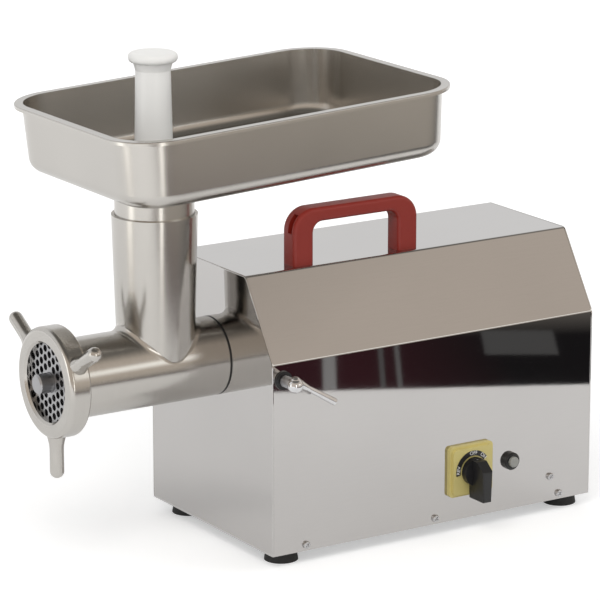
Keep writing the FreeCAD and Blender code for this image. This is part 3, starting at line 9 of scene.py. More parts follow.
import bpy
from bpy.props import FloatProperty, FloatVectorProperty, PointerProperty, StringProperty
from bpy.types import Operator, Panel, PropertyGroup
from mathutils import Matrix, Vector


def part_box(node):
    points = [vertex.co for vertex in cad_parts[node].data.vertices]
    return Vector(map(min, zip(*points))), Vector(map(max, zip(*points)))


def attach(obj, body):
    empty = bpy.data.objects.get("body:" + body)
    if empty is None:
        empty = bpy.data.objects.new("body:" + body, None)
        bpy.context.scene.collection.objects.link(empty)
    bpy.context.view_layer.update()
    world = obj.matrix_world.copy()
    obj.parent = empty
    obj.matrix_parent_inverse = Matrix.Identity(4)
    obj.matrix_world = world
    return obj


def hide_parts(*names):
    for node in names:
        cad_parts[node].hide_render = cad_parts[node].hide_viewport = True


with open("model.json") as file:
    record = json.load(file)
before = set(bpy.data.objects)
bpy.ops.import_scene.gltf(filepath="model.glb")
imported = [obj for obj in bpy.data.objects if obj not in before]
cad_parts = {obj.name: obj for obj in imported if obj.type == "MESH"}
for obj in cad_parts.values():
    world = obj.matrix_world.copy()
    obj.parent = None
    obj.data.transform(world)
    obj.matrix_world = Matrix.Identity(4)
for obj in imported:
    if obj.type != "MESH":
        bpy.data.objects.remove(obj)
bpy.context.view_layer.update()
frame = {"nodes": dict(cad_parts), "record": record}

bl_info = {
    "name": "Meat Grinder Dresser",
    "version": (1, 0, 0),
    "blender": (4, 5, 0),
    "location": "View3D > Sidebar > Grinder",
    "description": "Finishes, small pieces and studio for a bench-top electric meat grinder",
    "category": "Object",
}

MM = 0.001
BLACK = (0.0, 0.0, 0.0, 1.0)
WHITE = (1.0, 1.0, 1.0, 1.0)
SMOOTH_ANGLE = math.radians(35)


def middle(node):
    """Centre of a CAD node's box."""
    low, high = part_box(node)
    return (Vector(low) + Vector(high)) / 2


HOME = Vector((middle("cabinet_wrap").x, middle("cabinet_wrap").y, 0.0))


def colour_prop(name, description, default):
    """A colour that a user may change."""
    return FloatVectorProperty(name=name, description=description, default=default, size=3,
                               min=0.0, max=1.0, subtype="COLOR")


def length_prop(name, description, default):
    """A length that a user may change."""
    return FloatProperty(name=name, description=description, default=default, min=0.0,
                         subtype="DISTANCE", unit="LENGTH")


class GrinderFinishes(PropertyGroup):
    """Colours and gloss of the grinder's finishes."""
    cabinet: colour_prop("Cabinet", "Polished stainless sheet", (0.56, 0.545, 0.535))
    casting: colour_prop("Head", "Blasted and brushed head", (0.56, 0.54, 0.51))
    tray: colour_prop("Tray", "Pressed tray", (0.57, 0.55, 0.52))
    handle: colour_prop("Handle", "Moulded handle", (0.24, 0.015, 0.008))
    legend: colour_prop("Legend plate", "Switch plate", (0.62, 0.53, 0.20))
    stomper: colour_prop("Stomper", "White plastic", (0.88, 0.875, 0.855))
    cabinet_gloss: FloatProperty(name="Cabinet roughness",
                                 description="Roughness of the polished sheet",
                                 default=0.035, min=0.0, max=1.0, subtype="FACTOR")


class GrinderTrim(PropertyGroup):
    """Sizes of the small added pieces."""
    bead: length_prop("Rim bead", "Radius of the tray's rolled bead", 0.7 * MM)
    edge: length_prop("Edge bead", "Radius of the cabinet's rounded edges", 0.8 * MM)
    letter: length_prop("Letter height", "Height of the switch's lettering", 4.8 * MM)
    letter_depth: length_prop("Letter depth", "Thickness of the switch's lettering", 0.12 * MM)
    recess: length_prop("Recess depth", "Depth of the screws' cross recess", 1.1 * MM)
    thread: length_prop("Thread height", "Height of the clamp screw's thread", 0.22 * MM)
    on_word: StringProperty(name="On", description="Word at the running position", default="ON")
    off_word: StringProperty(name="Off", description="Word at the rest position", default="OFF")
    back_word: StringProperty(name="Reverse", description="Word at the reverse position",
                              default="REV")


class GrinderStudio(PropertyGroup):
    """Camera and floor."""
    camera_place: FloatVectorProperty(name="Camera",
                                      description="Camera, from under the cabinet's middle",
                                      size=3, default=(-1.7555, -2.6241, 1.0296),
                                      subtype="TRANSLATION")
    camera_aim: FloatVectorProperty(name="Aim", description="Direction of the camera's view",
                                    size=3, default=(0.5206, 0.8151, -0.2540),
                                    subtype="DIRECTION")
    lens: FloatProperty(name="Lens", description="Focal length in millimetres", default=211.6,
                        min=1.0, unit="CAMERA")
    floor: colour_prop("Floor", "Floor and backdrop", (0.8, 0.8, 0.8))


# Shader arithmetic

class Value:
    """One socket of a finish, so that shader maths reads as arithmetic."""

    def __init__(self, finish, socket):
        self.finish = finish
        self.socket = socket

    def maths(self, operation, first, second):
        """A Math node on two values."""
        return self.finish.node("ShaderNodeMath", {"operation": operation}, {0: first, 1: second})

    def __add__(self, other):
        return self.maths("ADD", self, other)

    __radd__ = __add__

    def __sub__(self, other):
        return self.maths("SUBTRACT", self, other)

    def __rsub__(self, other):
        return self.maths("SUBTRACT", other, self)

    def __mul__(self, other):
        return self.maths("MULTIPLY", self, other)

    __rmul__ = __mul__

    def __abs__(self):
        return self.maths("ABSOLUTE", self, 0.0)


class Finish:
    """The nodes of a material, or of the world, under construction."""

    def __init__(self, name, store="materials"):
        self.owner = getattr(bpy.data, store).new(name)
        self.owner.use_nodes = True
        self.tree = self.owner.node_tree
        self.tree.nodes.clear()

    def node(self, kind, settings=(), sockets=(), output=0):
        """Adds one node, sets it, feeds its sockets and gives back one of its outputs."""
        made = self.tree.nodes.new(kind)
        for name, value in dict(settings).items():
            setattr(made, name, value)
        for key, value in dict(sockets).items():
            if isinstance(value, Value):
                self.tree.links.new(value.socket, made.inputs[key])
            else:
                made.inputs[key].default_value = value
        return Value(self, made.outputs[output]) if made.outputs else None

    def place(self, scale=(1, 1, 1), shift=(0, 0, 0)):
        """Object coordinates, stretched and moved."""
        here = self.node("ShaderNodeTexCoord", output="Object")
        return self.node("ShaderNodeMapping", {}, {"Vector": here, "Scale": scale,
                                                   "Location": shift})

    def axis(self, vector, number):
        """One coordinate of a vector: 0, 1 or 2 for X, Y or Z."""
        return self.node("ShaderNodeSeparateXYZ", {}, {0: vector}, number)

    def noise(self, scale, detail=2.0, stretch=(1, 1, 1), rough=0.5):
        """Grey noise on object coordinates."""
        return self.node("ShaderNodeTexNoise", {}, {"Vector": self.place(stretch), "Scale": scale,
                                                    "Detail": detail, "Roughness": rough})

    def ramp(self, value, low, high):
        """A value spread between two limits, held inside 0 and 1."""
        return self.node("ShaderNodeMapRange", {"clamp": True}, {"Value": value, "From Min": low,
                                                                 "From Max": high})

    def blend(self, share, first, second):
        """A mix of two colours."""
        return self.node("ShaderNodeMix", {"data_type": "RGBA"}, {0: share, 6: first, 7: second}, 2)

    def drift(self, share, colour, low, high):
        """A colour that runs from a darker to a lighter shade of itself."""
        return self.blend(share, shade(colour, low), shade(colour, high))

    def bump(self, height, strength, distance):
        """A bump from a height."""
        return self.node("ShaderNodeBump", {}, {"Height": height, "Strength": strength,
                                                "Distance": distance})

    def surface(self, **sockets):
        """The finished shader; names use underscores for spaces."""
        words = {name.replace("_", " "): value for name, value in sockets.items()}
        shader = self.node("ShaderNodeBsdfPrincipled", {}, words)
        self.node("ShaderNodeOutputMaterial", {}, {"Surface": shader})
        return self.owner


def shade(colour, factor):
    """A colour with alpha, made darker or lighter."""
    return tuple(min(1.0, channel * factor) for channel in colour) + (1.0,)


# Finishes

METAL_SKIN = 0.4 * MM  # bump height of lines and grain on metal
MOULD_SKIN = 0.2 * MM  # bump height of the grain on plastic and rubber
LINE_DETAIL = {"detail": 4.0, "rough": 0.65}  # noise of brushed and turned lines
TUBE_FOOT = (0.208, 0.214)  # heights between which the barrel's lines become the tube's


def brushed_steel(name, colour, rough, stretch, scale=60.0, depth=0.02, contrast=0.10):
    """Stainless steel with fine lines, stretched along their run, and faint handling marks."""
    finish = Finish(name)
    lines = finish.noise(scale, stretch=stretch, **LINE_DETAIL)
    marks = finish.ramp(finish.noise(scale=9.0, detail=3.0), low=0.35, high=0.75)
    tone = finish.drift(lines, colour, low=1.0 - contrast, high=1.0 + contrast)
    tone = finish.blend(marks * 0.16, tone, shade(colour, 0.82))
    gloss = rough * 0.85 + lines * (rough * 3 * contrast) + marks * (rough * 0.25)
    return finish.surface(Base_Color=tone, Metallic=1.0, Roughness=gloss,
                          Normal=finish.bump(lines, strength=depth, distance=METAL_SKIN))


def satin_sheet(name, colour, rough):
    """Pressed stainless sheet with soft, patchy handling marks."""
    finish = Finish(name)
    patches = finish.noise(scale=7.0, detail=3.0)
    smears = finish.noise(scale=16.0, stretch=(0.4, 0.4, 1.5))
    tone = finish.drift(patches, colour, low=0.90, high=1.10)
    tone = finish.blend(finish.ramp(smears, low=0.5, high=0.8) * 0.2, tone, shade(colour, 0.85))
    gloss = rough * 0.8 + patches * (rough * 0.3) + smears * (rough * 0.1)
    return finish.surface(Base_Color=tone, Metallic=1.0, Roughness=gloss)


def plated_steel(name, colour, rough):
    """Bright plated metal with faint clouding."""
    finish = Finish(name)
    cloud = finish.noise(scale=180.0, detail=3.0)
    return finish.surface(Base_Color=finish.drift(cloud, colour, low=0.9, high=1.08), Metallic=1.0,
                          Roughness=rough * 0.7 + cloud * rough * 0.6)


def cast_metal(name, colour, rough):
    """Sand-cast metal with a grainy skin."""
    finish = Finish(name)
    grain = finish.noise(scale=700.0, detail=3.0)
    cloud = finish.noise(scale=22.0)
    return finish.surface(Base_Color=finish.drift(cloud, colour, low=0.86, high=1.12),
                          Metallic=0.85, Roughness=rough * 0.8 + grain * 0.25,
                          Normal=finish.bump(grain, strength=0.35, distance=METAL_SKIN))


def moulded_plastic(name, colour, rough, grain_depth=0.06, grain_scale=900.0):
    """Moulded plastic with a fine grain and slight colour drift."""
    finish = Finish(name)
    grain = finish.noise(grain_scale)
    cloud = finish.noise(scale=14.0)
    return finish.surface(Base_Color=finish.drift(cloud, colour, low=0.9, high=1.1),
                          Roughness=rough * 0.85 + cloud * rough * 0.3,
                          Normal=finish.bump(grain, strength=grain_depth, distance=MOULD_SKIN))


def rubber(name, colour):
    """Matt rubber with a dusty bloom."""
    finish = Finish(name)
    dust = finish.noise(scale=60.0, detail=4.0)
    grain = finish.noise(scale=1200.0)
    bloom = finish.ramp(dust, low=0.45, high=0.8)
    return finish.surface(Base_Color=finish.drift(bloom, colour, low=1.0, high=2.4),
                          Roughness=0.6 + dust * 0.25,
                          Normal=finish.bump(grain, strength=0.15, distance=MOULD_SKIN))


def stacked_sheet(name, colour):
    """Core laminations, seen as fine lines across the motor's axis."""
    finish = Finish(name)
    bands = finish.node("ShaderNodeTexWave", {"bands_direction": "X"},
                        {"Vector": finish.place(), "Scale": 300.0, "Distortion": 0.4})
    return finish.surface(Base_Color=finish.drift(bands, colour, low=0.6, high=1.4), Metallic=0.8,
                          Roughness=0.4 + bands * 0.2,
                          Normal=finish.bump(bands, strength=0.3, distance=0.3 * MM))


def wound_copper(name, colour):
    """Varnished end turns, seen as rings of wire."""
    finish = Finish(name)
    wires = finish.node("ShaderNodeTexWave", {"wave_type": "RINGS", "rings_direction": "X"},
                        {"Vector": finish.place(shift=-middle("motor_shaft")), "Scale": 160.0,
                         "Distortion": 1.5, "Detail": 2.0})
    return finish.surface(Base_Color=finish.drift(wires, colour, low=0.45, high=1.25),
                          Metallic=0.7, Roughness=0.3 + wires * 0.2, Coat_Weight=0.4,
                          Normal=finish.bump(wires, strength=0.6, distance=0.6 * MM))


def machined_head(name, colour, rough):
    """Head casting: fine turned lines round the barrel and up the feed tube."""
    finish = Finish(name)
    here = finish.node("ShaderNodeTexCoord", output="Object")
    on_tube = finish.ramp(finish.axis(here, 2), *TUBE_FOOT)
    round_barrel = finish.noise(scale=70.0, stretch=(16, 1, 1), **LINE_DETAIL)
    round_tube = finish.noise(scale=70.0, stretch=(1, 1, 16), **LINE_DETAIL)
    lines = round_barrel * (1 - on_tube) + round_tube * on_tube
    speckle = finish.noise(scale=900.0)
    cloud = finish.noise(scale=11.0, detail=3.0)
    tone = finish.drift(lines, colour, low=0.9, high=1.1)
    tone = finish.blend(cloud * 0.25, tone, shade(colour, 0.78))
    gloss = rough * 0.75 + lines * rough * 0.3 + cloud * rough * 0.25
    skin = finish.bump(lines * 0.7 + speckle * 0.3, strength=0.05, distance=METAL_SKIN)
    return finish.surface(Base_Color=tone, Metallic=1.0, Roughness=gloss, Normal=skin)


def printed_white():
    """White print on the switch."""
    return moulded_plastic("printed_white", (0.86, 0.86, 0.84), 0.5)


def make_finishes(wish):
    """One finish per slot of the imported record."""
    return {
        "cabinet_steel": brushed_steel("polished_sheet", wish.cabinet, wish.cabinet_gloss,
                                       stretch=(0.5, 12, 12), scale=80.0, depth=0.006,
                                       contrast=0.03),
        "base_steel": brushed_steel("mill_sheet", (0.45, 0.45, 0.45), 0.4, stretch=(1, 8, 8)),
        "head_steel": machined_head("blasted_head", wish.casting, 0.20),
        "tray_steel": satin_sheet("pressed_tray", wish.tray, 0.25),
        "cutter_steel": brushed_steel("ground_cutter", (0.42, 0.42, 0.43), 0.28,
                                      stretch=(1, 6, 6), scale=120.0, depth=0.03),
        "fastener_steel": plated_steel("zinc_plate", (0.55, 0.55, 0.56), 0.3),
        "lever_chrome": plated_steel("bright_chrome", (0.72, 0.72, 0.73), 0.10),
        "shaft_steel": brushed_steel("ground_shaft", (0.5, 0.5, 0.51), 0.25,
                                     stretch=(14, 1, 1), scale=90.0),
        "bearing_steel": plated_steel("bearing_ring", (0.6, 0.6, 0.62), 0.2),
        "bronze": brushed_steel("turned_bronze", (0.58, 0.38, 0.16), 0.3,
                                stretch=(12, 1, 1), scale=90.0),
        "cast_aluminium": cast_metal("sand_cast", (0.52, 0.52, 0.53), 0.5),
        "motor_paint": moulded_plastic("baked_enamel", (0.06, 0.07, 0.08), 0.35,
                                       grain_depth=0.12, grain_scale=400.0),
        "lamination": stacked_sheet("core_sheet", (0.17, 0.17, 0.18)),
        "winding_copper": wound_copper("varnished_wire", (0.5, 0.2, 0.08)),
        "handle_red": moulded_plastic("red_moulding", wish.handle, 0.42),
        "pusher_white": moulded_plastic("white_moulding", wish.stomper, 0.38, grain_depth=0.03),
        "legend_yellow": moulded_plastic("legend_plate", wish.legend, 0.38, grain_depth=0.03),
        "black_plastic": moulded_plastic("black_moulding", (0.012, 0.012, 0.013), 0.36),
        "button_grey": moulded_plastic("grey_cap", (0.30, 0.30, 0.28), 0.35),
        "rubber_black": rubber("foot_rubber", (0.016, 0.016, 0.016)),
        "capacitor_can": brushed_steel("drawn_can", (0.55, 0.55, 0.56), 0.35,
                                       stretch=(10, 1, 1), scale=80.0),
    }


def finish_of(slot):
    """The material that a slot's CAD solids wear."""
    for part in frame["record"]["subparts"]:
        if part["material_slot"] == slot:
            return frame["nodes"][part["node"]].data.materials[0]
    raise RuntimeError("no solid wears " + slot)


# Modelling helpers

def start_clean():
    """Object mode with nothing selected."""
    if bpy.context.object and bpy.context.object.mode != "OBJECT":
        bpy.ops.object.mode_set(mode="OBJECT")
    bpy.ops.object.select_all(action="DESELECT")


def pick(piece):
    """Selects one object and makes it active."""
    start_clean()
    piece.select_set(True)
    bpy.context.view_layer.objects.active = piece


def apply_place(piece):
    """Moves an object's place into its mesh."""
    pick(piece)
    bpy.ops.object.transform_apply(location=True, rotation=True, scale=True)


def fix_normals(piece):
    """Merges doubles and points the faces outwards."""
    pick(piece)
    bpy.ops.object.mode_set(mode="EDIT")
    bpy.ops.mesh.select_all(action="SELECT")
    bpy.ops.mesh.remove_doubles(threshold=1e-6)
    bpy.ops.mesh.normals_make_consistent(inside=False)
    bpy.ops.object.mode_set(mode="OBJECT")


def apply_modifier(piece, kind, **settings):
    """Adds a modifier, sets it and applies it."""
    pick(piece)
    modifier = piece.modifiers.new(kind.lower(), kind)
    for name, value in settings.items():
        setattr(modifier, name, value)
    bpy.ops.object.modifier_apply(modifier=modifier.name)


def join(pieces, name):
    """Joins pieces into one named object."""
    start_clean()
    for piece in pieces:
        piece.select_set(True)
    bpy.context.view_layer.objects.active = pieces[0]
    bpy.ops.object.join()
    joined = bpy.context.object
    joined.name = name
    joined.data.name = name
    return joined


def take(name):
    """The object an operator has just added, named."""
    piece = bpy.context.object
    piece.name = name
    piece.data.name = name
    return piece


def settle(piece, body, material):
    """Finishes a piece: place applied, smooth faces, material and body."""
    apply_place(piece)
    bpy.ops.object.shade_smooth_by_angle(angle=SMOOTH_ANGLE)
    piece.data.materials.clear()
    piece.data.materials.append(material)
    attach(piece, body)


def plain_box(size, place, name):
    """A box of a size at a place, to be cut with or finished."""
    start_clean()
    bpy.ops.mesh.primitive_cube_add(size=1.0, location=place)
    piece = take(name)
    piece.scale = size
    apply_place(piece)
    return piece


def carve(piece, cutter):
    """Cuts one object out of another and removes it."""
    apply_modifier(piece, "BOOLEAN", operation="DIFFERENCE", object=cutter, solver="EXACT")
    bpy.data.objects.remove(cutter)


def roll(outline, name, radius, resolution):
    """A round bead along an outline of edges."""
    pick(outline)
    bpy.ops.object.convert(target="CURVE")
    curve = bpy.context.object.data
    curve.bevel_depth = radius
    curve.bevel_resolution = resolution
    bpy.ops.object.convert(target="MESH")
    return take(name)


# Operators

class GRINDER_OT_finishes(Operator):
    """Gives every CAD solid the finish of its slot"""
    bl_idname = "grinder.finishes"
    bl_label = "Finishes"

    def execute(self, context):
        finishes = make_finishes(context.scene.grinder_finishes)
        for part in frame["record"]["subparts"]:
            solid = frame["nodes"][part["node"]]
            solid.data.materials.clear()
            solid.data.materials.append(finishes[part["material_slot"]])
        return {"FINISHED"}


class GRINDER_OT_case_screws(Operator):
    """Pan-head screws with a cross recess in place of the plain ones"""
    bl_idname = "grinder.case_screws"
    bl_label = "Case screws"

    head_radius = 3.5 * MM
    head_height = 2.4 * MM
    crown = 1.0 * MM
    facing = 0.9
    arm = 0.85 * MM
    span = 4.2 * MM
    panel = 105.0 * MM
    rise = 17.7 * MM
    spacing = 140.0 * MM
    clip_place = (129.5 * MM, 35.8 * MM)

    def head(self, recess):
        """One screw head, its face towards -Y, seated at the origin."""
        start_clean()
        bpy.ops.mesh.primitive_cylinder_add(vertices=40, radius=self.head_radius,
                                            depth=self.head_height,
                                            location=(0, -self.head_height / 2, 0),
                                            rotation=(math.pi / 2, 0, 0))
        head = take("screw_head")
        apply_place(head)
        bpy.ops.object.mode_set(mode="EDIT")
        bpy.ops.mesh.select_all(action="DESELECT")
        bpy.ops.object.mode_set(mode="OBJECT")
        for face in head.data.polygons:
            face.select = face.normal.y < -self.facing
        bpy.ops.object.mode_set(mode="EDIT")
        bpy.ops.mesh.bevel(offset=self.crown, segments=5, affect="EDGES")
        bpy.ops.object.mode_set(mode="OBJECT")
        for turn in (math.pi / 4, 3 * math.pi / 4):
            cutter = plain_box((self.span, 2 * recess, self.arm), (0, -self.head_height, 0),
                               "cutter")
            cutter.rotation_euler = (0, turn, 0)
            apply_place(cutter)
            carve(head, cutter)
        return head

    def execute(self, context):
        head = self.head(context.scene.grinder_trim.recess)
        copies = []
        seats = [(x * self.spacing, side, self.rise) for side in (-1, 1) for x in (-1, 0, 1)]
        seats.append((self.clip_place[0], -1, self.clip_place[1]))
        for x, side, z in seats:
            pick(head)
            bpy.ops.object.duplicate()
            copy = bpy.context.object
            copy.rotation_euler = (0, 0, 0 if side < 0 else math.pi)
            copy.location = HOME + Vector((x, side * self.panel, z))
            apply_place(copy)
            copies.append(copy)
        bpy.data.objects.remove(head)
        screws = join(copies, "panel_screws")
        settle(screws, "machine", finish_of("fastener_steel"))
        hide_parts("case_screws")
        return {"FINISHED"}


class GRINDER_OT_switch_legend(Operator):
    """White words on the switch's scale and the line on its knob"""
    bl_idname = "grinder.switch_legend"
    bl_label = "Switch legend"

    radius = 16.5 * MM
    back_angle = -82
    off_angle = 0
    on_angle = 42
    bar_height = 17.0 * MM
    line_size = (1.2 * MM, 0.3 * MM, 4.0 * MM)
    line_drop = 3.0 * MM
    line_proud = 0.05 * MM
    line_edge = 0.1 * MM

    def word(self, text, angle, size, depth):
        """One word on the scale's circle, its foot towards the knob."""
        start_clean()
        bpy.ops.object.text_add()
        piece = bpy.context.object
        piece.data.body = text
        piece.data.size = size
        piece.data.extrude = depth / 2
        piece.data.align_x = "CENTER"
        piece.data.align_y = "CENTER"
        pick(piece)
        bpy.ops.object.convert(target="MESH")
        piece = bpy.context.object
        scale_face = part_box("switch_scale")[0][1]
        centre = middle("switch_plate")
        turn = math.radians(angle)
        across = centre.x + self.radius * math.sin(turn)
        up = centre.z + self.radius * math.cos(turn)
        piece.matrix_world = (Matrix.Translation((across, scale_face - depth / 2, up))
                              @ Matrix.Rotation(turn, 4, "Y")
                              @ Matrix.Rotation(math.pi / 2, 4, "X"))
        apply_place(piece)
        return piece

    def execute(self, context):
        trim = context.scene.grinder_trim
        print_white = printed_white()
        marks = ((trim.back_word, self.back_angle), (trim.off_word, self.off_angle),
                 (trim.on_word, self.on_angle))
        words = [self.word(text, angle, trim.letter, trim.letter_depth) for text, angle in marks]
        legend = join(words, "switch_words")
        settle(legend, "machine", print_white)
        low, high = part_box("switch_knob")
        disc_face = low[1] + self.bar_height
        line = plain_box(self.line_size, (middle("switch_plate").x, disc_face - self.line_proud,
                                          high[2] - self.line_drop), "knob_line")
        apply_modifier(line, "BEVEL", width=self.line_edge, segments=2)
        settle(line, "knob", print_white)
        return {"FINISHED"}


class GRINDER_OT_tray_bead(Operator):
    """Rolled bead round the tray's rim"""
    bl_idname = "grinder.tray_bead"
    bl_label = "Tray bead"

    length = 353.0 * MM
    width = 251.0 * MM
    corner = 48.5 * MM
    from_end = 58.8 * MM
    from_side = 70.8 * MM
    depth = 64.0 * MM
    floor_height = 330.0 * MM
    tilt = math.radians(2.8)

    def execute(self, context):
        radius = context.scene.grinder_trim.bead
        start_clean()
        bpy.ops.mesh.primitive_plane_add(size=1.0)
        rim = take("tray_bead")
        rim.scale = (self.length - 2 * radius, self.width - 2 * radius, 1)
        rim.location = (self.length / 2 - self.from_end, self.width / 2 - self.from_side,
                        self.depth - radius)
        apply_place(rim)
        bpy.ops.object.mode_set(mode="EDIT")
        bpy.ops.mesh.select_all(action="SELECT")
        bpy.ops.mesh.bevel(offset=self.corner - radius, segments=20, affect="VERTICES")
        bpy.ops.mesh.select_all(action="SELECT")
        bpy.ops.mesh.delete(type="ONLY_FACE")
        bpy.ops.object.mode_set(mode="OBJECT")
        rim = roll(rim, "tray_bead", radius, resolution=4)
        spout = middle("tray_spout")
        rim.matrix_world = (Matrix.Translation((spout.x, spout.y, self.floor_height))
                            @ Matrix.Rotation(-self.tilt, 4, "Y"))
        apply_place(rim)
        fix_normals(rim)
        settle(rim, "tray", finish_of("tray_steel"))
        return {"FINISHED"}


class GRINDER_OT_edge_beads(Operator):
    """Bright rounded edges where the folded sheet meets the end plates"""
    bl_idname = "grinder.edge_beads"
    bl_label = "Edge beads"

    upright = 177.0 * MM
    top_depth = 120.0 * MM
    fold = 3.0 * MM
    proud = 0.35 * MM

    def bead(self, x, radius):
        """One bead round the cabinet's outline at an end."""
        low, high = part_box("cabinet_wrap")
        inset = radius - self.proud
        front, back = low[1] + inset, high[1] - inset
        bottom, top = low[2] + inset, high[2] - inset
        half = self.top_depth / 2
        outline = ((front, bottom), (front, low[2] + self.upright), (HOME.y - half, top),
                   (HOME.y + half, top), (back, low[2] + self.upright), (back, bottom))
        start_clean()
        bpy.ops.mesh.primitive_circle_add(vertices=len(outline), radius=half)
        bead = take("edge_bead")
        for corner, (y, z) in zip(bead.data.vertices, outline):
            corner.co = (x, y, z)
        bpy.ops.object.mode_set(mode="EDIT")
        bpy.ops.mesh.select_all(action="SELECT")
        bpy.ops.mesh.bevel(offset=self.fold, segments=6, affect="VERTICES")
        bpy.ops.object.mode_set(mode="OBJECT")
        bead = roll(bead, "edge_bead", radius, resolution=3)
        fix_normals(bead)
        return bead

    def execute(self, context):
        radius = context.scene.grinder_trim.edge
        low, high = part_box("cabinet_wrap")
        inset = radius - self.proud
        ends = (low[0] + inset, high[0] - inset)
        beads = join([self.bead(x, radius) for x in ends], "edge_beads")
        settle(beads, "machine", finish_of("cabinet_steel"))
        return {"FINISHED"}


class GRINDER_OT_grip_handle(Operator):
    """The carrying handle with a hollow over each outer bend"""
    bl_idname = "grinder.grip_handle"
    bl_label = "Grip handle"

    bend = 21.0 * MM
    from_front = 7.5 * MM
    width = 6.5 * MM
    depth = 7.0 * MM
    drop = 1.0 * MM
    sweep = math.radians(48)

    def cutter(self, side):
        """The hollow's straight foot and its curved run, at one end of the handle."""
        low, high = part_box("carry_handle")
        face = low[0] if side < 0 else high[0]
        height = high[2] - self.bend
        across = low[1] + self.from_front
        pieces = []
        for run in ("foot", "bend"):
            start_clean()
            bpy.ops.mesh.primitive_plane_add(size=1.0, location=(face, across, height))
            piece = take("hollow_" + run)
            piece.scale = (2 * self.depth, self.width, 1.0)
            apply_place(piece)
            bpy.ops.object.mode_set(mode="EDIT")
            bpy.ops.mesh.select_all(action="SELECT")
            if run == "foot":
                bpy.ops.mesh.extrude_region_move(
                    TRANSFORM_OT_translate={"value": (0, 0, -self.drop)})
            else:
                bpy.ops.mesh.spin(steps=14, angle=side * self.sweep, axis=(0, 1, 0),
                                  center=(face - side * self.bend, across, height))
            bpy.ops.object.mode_set(mode="OBJECT")
            fix_normals(piece)
            pieces.append(piece)
        return pieces

    def execute(self, context):
        pick(frame["nodes"]["carry_handle"])
        bpy.ops.object.duplicate()
        handle = take("grip_handle")
        bpy.ops.mesh.customdata_custom_splitnormals_clear()
        fix_normals(handle)
        for side in (-1, 1):
            for piece in self.cutter(side):
                carve(handle, piece)
        settle(handle, "machine", finish_of("handle_red"))
        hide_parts("carry_handle")
        return {"FINISHED"}


class GRINDER_OT_clamp_thread(Operator):
    """Thread on the clamp screw where it leaves the panel"""
    bl_idname = "grinder.clamp_thread"
    bl_label = "Clamp thread"

    pitch = 1.5 * MM
    flank = 0.45 * pitch
    turns = 9
    facets = 32
    sunk = 1.0 * MM

    def execute(self, context):
        height = context.scene.grinder_trim.thread
        low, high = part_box("clamp_screw")
        radius = (high[0] - low[0]) / 2
        axis = middle("clamp_screw")
        lever_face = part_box("clamp_lever")[1][1]
        start_clean()
        bpy.ops.mesh.primitive_circle_add(vertices=3, radius=self.flank, location=(radius, 0, 0),
                                          rotation=(math.pi / 2, 0, 0))
        thread = take("clamp_thread")
        apply_place(thread)
        bpy.ops.object.mode_set(mode="EDIT")
        bpy.ops.mesh.select_all(action="SELECT")
        bpy.ops.transform.resize(value=(height / self.flank, 1, 1),
                                 center_override=(radius, 0, 0))
        bpy.ops.object.mode_set(mode="OBJECT")
        apply_modifier(thread, "SCREW", axis="Z", angle=2 * math.pi, screw_offset=self.pitch,
                       iterations=self.turns, steps=self.facets, render_steps=self.facets,
                       use_merge_vertices=True)
        thread.matrix_world = (Matrix.Translation((axis.x, lever_face - self.sunk, axis.z))
                               @ Matrix.Rotation(-math.pi / 2, 4, "X"))
        apply_place(thread)
        fix_normals(thread)
        settle(thread, "lever", finish_of("fastener_steel"))
        return {"FINISHED"}


class GRINDER_OT_barrel_seam(Operator):
    """Dark joint line round the barrel where it meets the cabinet"""
    bl_idname = "grinder.barrel_seam"
    bl_label = "Barrel seam"

    radius = 36.06 * MM
    width = 1.1 * MM
    thickness = 0.3 * MM
    from_plate = 0.6 * MM

    def execute(self, context):
        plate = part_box("head_end_plate")[0][0]
        axis = middle("drive_shaft")
        start_clean()
        bpy.ops.mesh.primitive_cylinder_add(vertices=96, radius=self.radius, depth=self.width,
                                            end_fill_type="NOTHING", rotation=(0, math.pi / 2, 0),
                                            location=(plate - self.from_plate, axis.y, axis.z))
        seam = take("barrel_seam")
        apply_place(seam)
        apply_modifier(seam, "SOLIDIFY", thickness=self.thickness, offset=-1.0)
        settle(seam, "machine", finish_of("black_plastic"))
        return {"FINISHED"}


